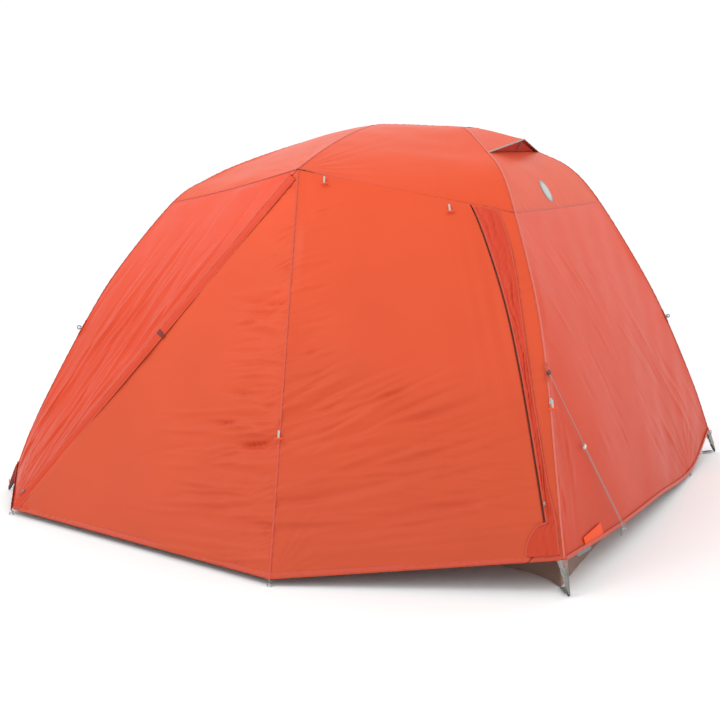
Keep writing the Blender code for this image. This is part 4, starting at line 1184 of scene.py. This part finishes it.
def slider(name, node, body, run, out):
    """A wedge-shaped slider with a bail and a corded pull that hangs down from it."""
    centre = middle(node)
    run, out = unit(run), unit(out)
    spans = np.array([-0.0075, -0.0072, -0.004, 0.0, 0.004, 0.0072, 0.0075])
    widths = np.array([0.5, 0.72, 0.86, 0.95, 1.0, 0.95, 0.75])
    top = centre + run * 0.009
    mesh = sweep(name, top + np.outer(spans, run), band_section(0.0085, 0.0062), out, widths)
    add(name + "_body", mesh, body, metal, "slider_metal", node)
    turn = np.linspace(0.15, np.pi - 0.15, 26)
    bail = top + np.outer(np.cos(turn) * 0.005, run) + np.outer(np.sin(turn) * 0.0042 + 0.0022, out)
    add(
        name + "_bail", sweep(name, bail, ring_of(0.0009, 8), np.cross(run, out)), body, metal,
        "slider_metal"
    )
    hang = np.linspace(0, 1, 50)
    pull = top - np.outer(0.004 + 0.024 * hang, run) + np.outer(0.0052 - 0.004 * hang**2, out)
    thick = 1 + 0.7 * (hang > 0.55)
    add(
        name + "_pull", sweep(name, pull, ring_of(0.0013, 10), out, thick), body, pull_finish,
        "orange_plastic"
    )


slider("left_slider", "left_zip_slider", "left_slider", TIP - STAKE_FRONT_LEFT, LEFT_OUT)

# ---------------------------------------------------------------- right door zip
# The second zip runs down beside the leg and curls in at its foot. Over it lies a gathered
# storm flap of bright cloth: a wide folded triangle at the top, pleats, and a round lobe.

FACE_OUT = unit(np.cross(STAKE_FRONT - TIP, front_face(1.0, 0.5) - front_face(0.0, 0.5)))
FACE_OUT = FACE_OUT * -np.sign(FACE_OUT[1])


def face_out(share, drop, step=0.002):
    """The main face's outward normal, from its own slopes."""
    across = front_face(share + step, drop) - front_face(share - step, drop)
    down = front_face(share, np.minimum(drop + step, 1)) - front_face(share, drop - step)
    normal = unit(np.cross(down, across))
    return normal * np.where((normal @ FACE_OUT)[..., None] > 0, 1, -1)


zip_drop = np.linspace(0.03, 0.994, 320)
zip_line = front_face(zip_share(zip_drop), zip_drop)
mesh = sweep("right_chain", zip_line, ring_of(CHAIN_RADIUS, 12), face_out(zip_share(zip_drop), zip_drop))
add("right_zip_coil", mesh, "tent", zip_finish, "zip_tape", "right_zip_chain")
zip_out = face_out(zip_share(zip_drop), zip_drop)
ribbon(
    "right_zip_tape", zip_line - zip_out * 0.0018, zip_out, 0.024, 0.0012, "tent", tape_finish, "zip_tape",
    count=200
)

GATHER_TOP, GATHER_LOW = 0.012, 0.984
PLEATS = 2.5


def near_foot(drop):
    """0 along most of the gathered flap, rising to 1 where it widens towards its foot."""
    return ease((drop - 0.80) / 0.13)


def gather_span(drop):
    """The gathered flap's width as a share: wide at the top, narrow from a third down to near its
    foot, where it widens until it reaches the leg."""
    narrow = 0.030 + 0.085 * np.exp(-((drop / 0.30) ** 2))
    lobe = near_foot(drop)
    return narrow * (1 - lobe) + (0.985 - zip_share(drop)) * lobe


def gathered(across, drop):
    """Pleats run down the flap: folded sines across it that wander as they go, drawn flat at both
    edges. Its left edge starts just right of the zip, and bulges over it in half an ellipse low down."""
    bulge = -0.007 + 0.057 * np.sqrt(np.clip(1 - ((drop - 0.945) / 0.043) ** 2, 0, 1))
    share = zip_share(drop) - bulge + (gather_span(drop) + bulge) * across
    lobe = near_foot(drop)
    wander = 1.1 * np.sin(drop * 9) + 0.8 * np.sin(drop * 23 + 1) + 0.5 * np.sin(drop * 61 + 4 * across)
    pleat = np.abs(np.sin(np.pi * PLEATS * (1 + 0.8 * lobe) * across**0.8 + wander)) ** 0.8
    small = np.sin(drop * 190 + 5 * across + 3 * wander) * np.sin(across * 19 + drop * 40)
    arch = np.sin(np.pi * np.clip(across, 0, 1)) ** 0.6
    depth = (0.0080 - 0.0025 * lobe) * arch * (0.35 + 0.65 * np.sin(drop * 13 + 2 * across) ** 2)
    lift = 0.0035 + depth * pleat + 0.0011 * small * arch
    return front_face(share, drop) + face_out(share, drop) * lift[..., None]


# The gathered flap is the fly cloth in a darker copy: painted shade of its pleats, with the fly's painted
# grade by height.
gather_painted_shade = fly_finish("gather_painted_shade", (0.66, 0.062, 0.028), (0.54, 0.058, 0.026))
across, drop = np.meshgrid(np.linspace(0, 1, 56), np.linspace(GATHER_TOP, GATHER_LOW, 430))
cloth("right_zip_gather", gathered(across, drop), "tent", gather_painted_shade, "fly_cloth")
edge_drop = np.linspace(GATHER_TOP, GATHER_LOW - 0.004, 400)
for word, at in (("left", 0.015), ("right", 0.985)):
    edge = gathered(np.full(400, at), edge_drop)
    out = face_out(zip_share(edge_drop), edge_drop)
    ribbon(
        f"right_gather_{word}_edge", edge + out * 0.0006, out, 0.006, 0.002, "tent", seam_red, "fly_cloth",
        count=250
    )

run = front_face(zip_share(0.5), 0.5) - front_face(zip_share(0.86), 0.86)
slider("right_slider", "right_zip_slider", "right_slider", run, face_out(np.array(0.9), np.array(0.7)))

# ---------------------------------------------------------------- roof vent and patch
# A grey binding stiffens the mouth of the vent hood, which a short prop holds open over dark
# netting. Beside it a plain oval patch is sewn to the roof.

binding = stitched_finish("vent_binding", (0.40, 0.34, 0.31), 0.009)
dense = np.vstack(
    [straight(legs_end, VENT_TIP)[:-1] for legs_end in (vent_edge[0],)] + [straight(VENT_TIP, vent_edge[2])]
)
rim = ribbon("vent_rim", dense, (0.5, 0, 1), 0.009, 0.0026, "tent", binding, "fly_cloth")
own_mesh(rim)
netting_black = Finish("vent_netting", (0.70, 0.050, 0.020), 0.9)
net_across, net_up = netting_black.along()
netting_black.bump(net_across.wave(0.0016) * net_up.wave(0.0016), 0.0006, 1.0)
low_edge = straight(vent_edge[0], vent_edge[2])
net_rise = np.linspace(0, 1, 30)[:, None, None]
inset_edge = evenly(dense, 201) - (0.012, 0, 0.004)
net = low_edge[None] * (1 - net_rise) + inset_edge[None] * net_rise - (0.004, 0, 0)
vent_net = cloth("vent_net", net[:, 2:-2], "tent", netting_black, "dark_plastic")
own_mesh(vent_net)
strut_low, strut_high = np.array([0.6865, 0.0, 1.6055]), VENT_TIP - (0.006, 0, 0.006)
strut_line = straight(strut_low, strut_high)[::6]
strut_widths = 1 - 0.25 * np.cos(np.linspace(0, 2 * np.pi, len(strut_line))) * 0.6
mesh = sweep("vent_prop", strut_line, band_section(0.009, 0.0026), (1, 0, -0.6), strut_widths)
add("vent_prop", mesh, "vent_strut", moulded, "dark_plastic", "vent_strut")


def sit_on(points, panel, out, lift):
    """Slide points along one direction onto a panel: each rises by a mean of the panel's nearest
    points, weighted by a bell of how far off they are to the side."""
    panel = panel.reshape(-1, 3)
    panel = panel[np.linalg.norm(panel - points.reshape(-1, 3).mean(0), axis=1) < 0.16]
    gap = panel - points[..., None, :]
    rise = gap @ out
    aside = np.linalg.norm(gap - rise[..., None] * out, axis=-1)
    weight = np.exp(-((aside / 0.010) ** 2)) + 1e-12
    return points + ((weight * rise).sum(-1) / weight.sum(-1) + lift)[..., None] * out


PATCH_HALF = (0.042, 0.056)
patch_finish = Finish("patch_cloth", (0.60, 0.58, 0.55), 0.7)
patch_spot = patch_finish.along()
rim_part = 1.0 - patch_spot[1].below(0.84)
inner_line = (patch_spot[1] - 0.74).size().below(0.03)
patch_finish.set(
    "Base Color",
    patch_finish.blend(rim_part.most(inner_line), (0.55, 0.55, 0.53, 1), (0.30, 0.30, 0.31, 1))
)
patch_finish.bump(patch_finish.noise(500.0) + rim_part * 2.0, 0.0005, 0.7)
lean = np.array(middle("roof_patch"))
patch_low = np.array(at_height(leg_line(RIGHT, FRONT), CAP_HEIGHT)) * (1, 0, 1)
patch_high = np.array(at_height(leg_line(RIGHT, FRONT), VENT_HEIGHT)) * (1, 0, 1)
patch_down = unit(patch_low - patch_high)
patch_out = unit(np.cross(patch_down, (0, 1, 0)))
patch_out = patch_out * np.sign(patch_out[0])
radius = np.linspace(0, 1, 26)[:, None]
turn = np.linspace(0, 2 * np.pi, 97)[None]
disc = lean + (np.cos(turn) * radius * PATCH_HALF[0])[..., None] * np.array([0, 1, 0])
disc = disc + (np.sin(turn) * radius * PATCH_HALF[1])[..., None] * patch_down
disc = sit_on(disc, roof_right_face, patch_out, 0.0030)
disc = disc - (0.0016 * radius**6 * np.ones_like(turn))[..., None] * patch_out
cloth(
    "roof_oval_patch", disc, "tent", patch_finish, "webbing", ["roof_patch"], flat=(
        2 * PATCH_HALF[0], 2 * PATCH_HALF[1]
    ),
    uv=lambda grid: np.stack([turn * np.ones_like(radius), radius * np.ones_like(turn)], -1),
)

# ---------------------------------------------------------------- toggles
# A short white webbing tail carries an orange bar, which holds a rolled door or flap. The
# three on the door hang from its seams, and the fourth from the front right leg.

orange = Finish("orange_nylon", (0.80, 0.075, 0.008), 0.42)
orange.set("Base Color", orange.tint(orange.noise(30.0), 0.92, 1.05))
orange.set("Roughness", orange.noise(220.0) * 0.2 + 0.32)
orange.bump(orange.noise(900.0), 0.0002, 0.4)
white_tape = stitched_finish("white_tape", (0.66, 0.65, 0.62), 0.007, 0.002, 0.9, 0.8)
TOGGLE_NECK, TOGGLE_BAR, BAR_RADIUS = 0.024, 0.034, 0.004
SEAM_ALONG = unit(front_face(0.75, 0.0) - front_face(0.0, 0.0))


def toggle(name, anchor, hang, across, body, knot_turn):
    """A looped tape neck sewn down at its top, and a waisted bar across its lower end."""
    hang = unit(hang)
    out = unit(np.cross(across, hang))
    across = unit(np.cross(hang, out))
    reach = np.linspace(0, 1, 40)
    for side in (-1, 1):
        strand = (
            anchor + np.outer(reach, hang) * TOGGLE_NECK
            + np.outer(np.sin(np.pi * reach), across) * 0.0022 * side
        )
        mesh = sweep(name, strand, band_section(0.0045, 0.0014), out)
        add(f"{name}_tape_{'left' if side < 0 else 'right'}", mesh, body, white_tape, "cord")
    spans = np.concatenate([[-1, -0.985], np.linspace(-0.95, 0.95, 41), [0.985, 1]])
    girth = 0.72 + 0.28 * np.abs(spans) ** 1.5
    girth = girth * np.sqrt(np.clip(1 - (np.clip(np.abs(spans) - 0.9, 0, 1) / 0.101) ** 2, 0.02, 1))
    centre = anchor + hang * TOGGLE_NECK
    tilt = unit(across * np.cos(knot_turn) + out * np.sin(knot_turn))
    mesh = sweep(name, centre + np.outer(spans * TOGGLE_BAR / 2, tilt), ring_of(BAR_RADIUS, 18), out, girth)
    add(name + "_bar", mesh, body, orange, "orange_plastic", name)
    base = anchor - hang * 0.004 + np.outer(np.linspace(-0.006, 0.009, 20), hang) + out * 0.0005
    mesh = sweep(name, base, band_section(0.008, 0.0022), out)
    add(name + "_anchor", mesh, "tent" if name == "toggle_side" else "door", white_tape, "cord")


for name, share, drop in (
    ("toggle_top_left", 0.127, 0.018), ("toggle_top_right", 0.700, 0.030), ("toggle_seam", 0.0, 0.675)
):
    lift = 0.012 if share else 0.016
    hang = front_face(share, drop + 0.05) - front_face(share, drop)
    toggle(name, front_face(share, drop) + FACE_OUT * lift, hang, SEAM_ALONG, name, 0.0)
front_right = leg_line(RIGHT, FRONT)
side_at = at_height(front_right, 0.66)
side_out = unit(side_at - HEART * (1, 1, 1.2))
side_hang = at_height(front_right, 0.60) - at_height(front_right, 0.66)
toggle("toggle_side", side_at + side_out * 0.016, side_hang, (1.0, 0.3, 0.0), "toggle_side", 0.0)
side_tab = side_at + side_out * 0.010 + np.outer(np.linspace(-0.016, 0.016, 24), (0.1, -0.2, 1.0))
ribbon(
    "toggle_side_patch", side_tab - side_out * 0.006, side_out, 0.012, 0.002, "tent", white_tape, "cord",
    count=24
)

# ---------------------------------------------------------------- guy line fittings
# Each leg has a grey webbing tab with a ring for a guy line. The one guy line that is set
# has a white sliding tensioner, and is held at its foot by a hook on the wall's hem.

webbing_finish = Finish("grey_webbing", (0.25, 0.245, 0.215), 0.8)
web_across, web_up = webbing_finish.along()
rib = (web_up + (web_across.part(0.003) - 0.5).size() * 0.002).wave(0.0022)
webbing_finish.set("Base Color", webbing_finish.tint(rib * 0.35 + webbing_finish.noise(90.0), 0.72, 1.15))
webbing_finish.bump(rib, 0.0007, 0.9)
white_plastic = Finish("white_nylon", (0.70, 0.69, 0.66), 0.42)
white_plastic.set("Roughness", white_plastic.noise(200.0) * 0.2 + 0.33)
white_plastic.bump(white_plastic.noise(800.0), 0.0002, 0.4)
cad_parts["line_tensioner"].data.materials.clear()
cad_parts["line_tensioner"].data.materials.append(white_plastic.material)
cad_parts["brow_hub"].data.materials.clear()
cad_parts["brow_hub"].data.materials.append(moulded.material)

for side, hand in HANDS.items():
    for end, where in ENDS.items():
        line = leg_line(side, end)
        here = at_height(line, TAB_HEIGHT)
        out = unit(here * (1, 1, 0))
        rise = unit(at_height(line, TAB_HEIGHT + 0.05) - here)
        centre = middle(f"guy_tab_{where}_{hand}")
        turn = np.linspace(0, 2 * np.pi, 72, endpoint=False)
        ring_way = unit(np.cross(out, rise))
        upright = np.cross(ring_way, out)
        loop = centre + np.outer(np.cos(turn), out) * RING + np.outer(np.sin(turn), upright) * RING
        spoke = unit(loop - centre)
        wire = np.linspace(0, 2 * np.pi, 12, endpoint=False)
        grid = loop[:, None] + RING_WIRE * (
            np.cos(wire)[None, :, None] * spoke[:, None] + np.sin(wire)[None, :, None] * ring_way
        )
        closed = np.concatenate([grid, grid[:1]])
        mesh = surface("ring", np.concatenate([closed, closed[:, :1]], 1))
        work = bmesh.new()
        work.from_mesh(mesh)
        bmesh.ops.remove_doubles(work, verts=work.verts, dist=1e-6)
        bmesh.ops.recalc_face_normals(work, faces=work.faces)
        work.to_mesh(mesh)
        work.free()
        add(f"guy_ring_{where}_{hand}", mesh, "tent", moulded, "dark_plastic", f"guy_tab_{where}_{hand}")
        fold = np.linspace(-0.5, 0.5, 40)
        tab = (
            here + np.outer(0.0148 * np.cos(np.pi * fold) ** 0.5, out)
            + np.outer(0.0052 * np.sin(np.pi * fold), rise)
        )
        mesh = sweep(
            "tab", tab, band_section(0.009, 0.0012),
            np.cos(np.pi * fold)[:, None] * out + np.sin(np.pi * fold)[:, None] * rise
        )
        add(f"guy_webbing_{where}_{hand}", mesh, "tent", webbing_finish, "webbing")
        patch_line = between(line, TAB_HEIGHT - 0.035, TAB_HEIGHT + 0.035, 40)
        ribbon(
            f"guy_patch_{where}_{hand}", patch_line, out, 0.020, 0.003, "tent", seam_red, "fly_cloth",
            count=40
        )

hook_middle = middle("hem_hook")
hook_spans = np.array([-0.0085, -0.0083, -0.005, 0.0, 0.0035, 0.0050, 0.0060, 0.0078, 0.0085])
hook_widths = np.array([0.0026, 0.0032, 0.0030, 0.0027, 0.0027, 0.0030, 0.0032, 0.0031, 0.0020])
mesh = sweep(
    "hem_hook", hook_middle + np.outer(hook_spans, wall_out), ring_of(1.0, 24), GUY_RUN, hook_widths
)
add("hem_hook_pin", mesh, "tent", white_plastic, "dark_plastic", "hem_hook")
hook_strap = GUY_FOOT + np.outer(np.linspace(0.006, -0.030, 30), (0, 0, 1)) - wall_out * 0.016
ribbon("hem_hook_strap", hook_strap, wall_out, 0.012, 0.002, "tent", webbing_finish, "webbing", count=40)

# ---------------------------------------------------------------- hem patch and tag
# A bright orange patch of coated cloth is sewn to the right wall's hem between the near corner
# and the guy line's foot, and a blank woven tag is sewn under the hem nearer the corner.

PATCH_SHARES, PATCH_HEIGHT, PATCH_LOW_END = (0.36, 0.70), 0.058, 0.35
TAG_SHARES, TAG_WIDTH, ON_CLOTH = (0.20, 0.44), 0.014, 0.0030

hem_run = side_hem(RIGHT)
foot_at = np.argmin(np.linalg.norm(hem_run - GUY_FOOT, axis=1)) / (len(hem_run) - 1)
hem_share, patch_rise = np.meshgrid(
    np.linspace(*PATCH_SHARES, 60) * foot_at, np.linspace(0.0, 1.0, 50), indexing="ij"
)
wall_up = unit(np.array(LEG_TOP[RIGHT][0]) * (1, 0, 1) - GUY_FOOT * (1, 0, 1))
peak = PATCH_HEIGHT * (PATCH_LOW_END + (1 - PATCH_LOW_END) * hem_share / hem_share.max())
reinforced = along(hem_run, hem_share) + wall_up * (0.004 + patch_rise * peak)[..., None]
reinforced = sit_on(reinforced, wall_right_face, wall_out, ON_CLOTH)
hot_orange = cloth_finish("hem_patch_orange", (0.92, 0.085, 0.010), 0.45, 0.0010, 0.0, 0.05, 0.0002)
cloth("hem_corner_patch", reinforced, "tent", hot_orange, "webbing")

tag_finish = stitched_finish("blank_tag", (0.20, 0.20, 0.20), TAG_WIDTH)
tag_line = along(hem_run, np.linspace(*TAG_SHARES, 30) * foot_at) + wall_out * 0.004 - (0, 0, 0.004)
ribbon("hem_blank_tag", tag_line, wall_out, TAG_WIDTH, 0.0016, "tent", tag_finish, "webbing", count=40)

# ---------------------------------------------------------------- corners
# At each corner a wrinkled grey strip tapers from the fly's hem down to the pole tip, and a
# woven strap joins the tip to the floor. A small orange loop is there to pull on.

strip_grey = Finish("corner_strip", (0.42, 0.41, 0.38), 0.5, Sheen_Weight=0.1)
strap_red = Finish("corner_strap_red", (0.34, 0.030, 0.018), 0.6)
strap_red.set("Base Color", strap_red.tint(strap_red.noise(140.0), 0.7, 1.3))
strap_red.bump(strap_red.noise(300.0), 0.0004, 0.7)
strip_across, strip_up = strip_grey.along()
thread = strip_across.wave(0.0018) * strip_up.wave(0.0018)
strip_grey.set("Base Color", strip_grey.tint(strip_grey.noise(110.0) + thread * 0.2, 0.65, 1.45))
strip_grey.set("Alpha", 0.80 + 0.20 * strip_grey.noise(160.0))
strip_grey.bump(thread + strip_grey.noise(220.0) * 4, 0.0006, 0.9)
STRIP_WIDE, STRIP_NARROW = 0.055, 0.010

for side, hand in HANDS.items():
    for end, where in ENDS.items():
        tip = np.array([side * LEG_LOWER[0][0], end * LEG_LOWER[0][1], 0.012])
        top = at_height(leg_line(side, end), HEM_HEIGHT + 0.006)
        out = unit(top * (1, 1, 0))
        along_hem = np.cross((0, 0, 1), out)
        fall, across = np.meshgrid(np.linspace(0, 1, 60), np.linspace(-1, 1, 50), indexing="ij")
        plain_strap = side == LEFT and end == FRONT
        wide, finish = (STRIP_NARROW, strap_red) if plain_strap else (STRIP_WIDE, strip_grey)
        half = (wide + (STRIP_NARROW - wide) * fall**0.6) / 2
        centre_line = top * (1 - fall[..., None]) + tip * fall[..., None]
        wrap_round = 0.010 * (1 - across**2) - 0.020 * across**2 * (1 - fall)
        crumple = 0.0036 * np.sin(across * 13 + 3 * np.sin(fall * 9)) * np.sin(np.pi * fall) ** 0.5
        crumple = crumple + 0.0010 * np.sin(across * 29 + fall * 31)
        bend = wrap_round * (1 - 0.4 * fall) + crumple - 0.004
        strip = centre_line + along_hem * (half * across)[..., None] + out * bend[..., None]
        cloth(f"corner_strip_{where}_{hand}", strip, "tent", finish, "webbing")
        low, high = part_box(f"corner_webbing_{where}_{hand}")
        corner = np.array([side * TRAY_CORNER_X, end * TRAY_CORNER_Y, 0.007])
        foot = np.array([side * LEG_LOWER[0][0], end * LEG_LOWER[0][1], 0.007])
        share = np.linspace(0.12, 0.80, 40)[:, None]
        strap = corner * (1 - share) + foot * share + (0, 0, 0.002) * np.sin(np.pi * share)
        node = f"corner_webbing_{where}_{hand}"
        mesh = sweep(node, strap, band_section(0.024, 0.0022), (0, 0, 1))
        add(f"corner_strap_{where}_{hand}", mesh, "tent", webbing_finish, "webbing", node)
        turn = np.linspace(0.25, 2 * np.pi - 0.25, 50)
        loop_at = tip + out * -0.004 + (0, 0, 0.030) if plain_strap else top + out * 0.012 - (0, 0, 0.012)
        pull = (
            loop_at + np.outer(np.cos(turn) * 0.007 - 0.006, along_hem)
            + np.outer(np.sin(turn) * 0.011, (0, 0, 1))
        )
        mesh = sweep("pull", pull, ring_of(0.0014, 10), out)
        add(f"corner_pull_{where}_{hand}", mesh, "tent", orange, "orange_plastic")

# ---------------------------------------------------------------- stakes
# Bent wire stakes hold the vestibule, the side walls and the rear. Each is pushed through a
# short loop of webbing sewn to the hem.

STAKES = {
    "front": (STAKE_FRONT, (1, 0.1, 0), (0, -1, 0)),
    "front_left": (STAKE_FRONT_LEFT, (1, 0.3, 0), (-0.4, -1, 0)),
    "right": (STAKE_SIDE, (0, 1, 0), (1, 0, 0)),
    "left": (STAKE_SIDE * (-1, 1, 1), (0, 1, 0), (-1, 0, 0)),
    "rear": (STAKE_REAR, (1, 0, 0), (0, 1, 0)),
}
for name, (place, across, out) in STAKES.items():
    place, across, out = place * (1, 1, 0), unit(across), unit(out)
    turn = np.linspace(0, np.pi, 40)
    arch = place + np.outer(np.cos(turn), across) * 0.009 + np.outer(np.sin(turn), (0, 0, 1)) * 0.011
    mesh = sweep(name, arch, ring_of(0.0022, 14), np.cross(across, (0, 0, 1)))
    add(f"stake_{name}_head", mesh, "tent", alloy, "pole_alloy", f"stake_{name}")
    reach = np.linspace(0, 1, 40)
    tail = place + np.outer(0.010 + 0.014 * (1 - reach), (0, 0, 1)) - np.outer(0.004 + 0.002 * reach, out)
    body = "door" if name == "front" else "tent"
    ribbon(
        f"stake_{name}_loop", tail + np.outer(0.012 * reach - 0.006, across), out, 0.010, 0.0018, body,
        webbing_finish, "webbing", count=24
    )
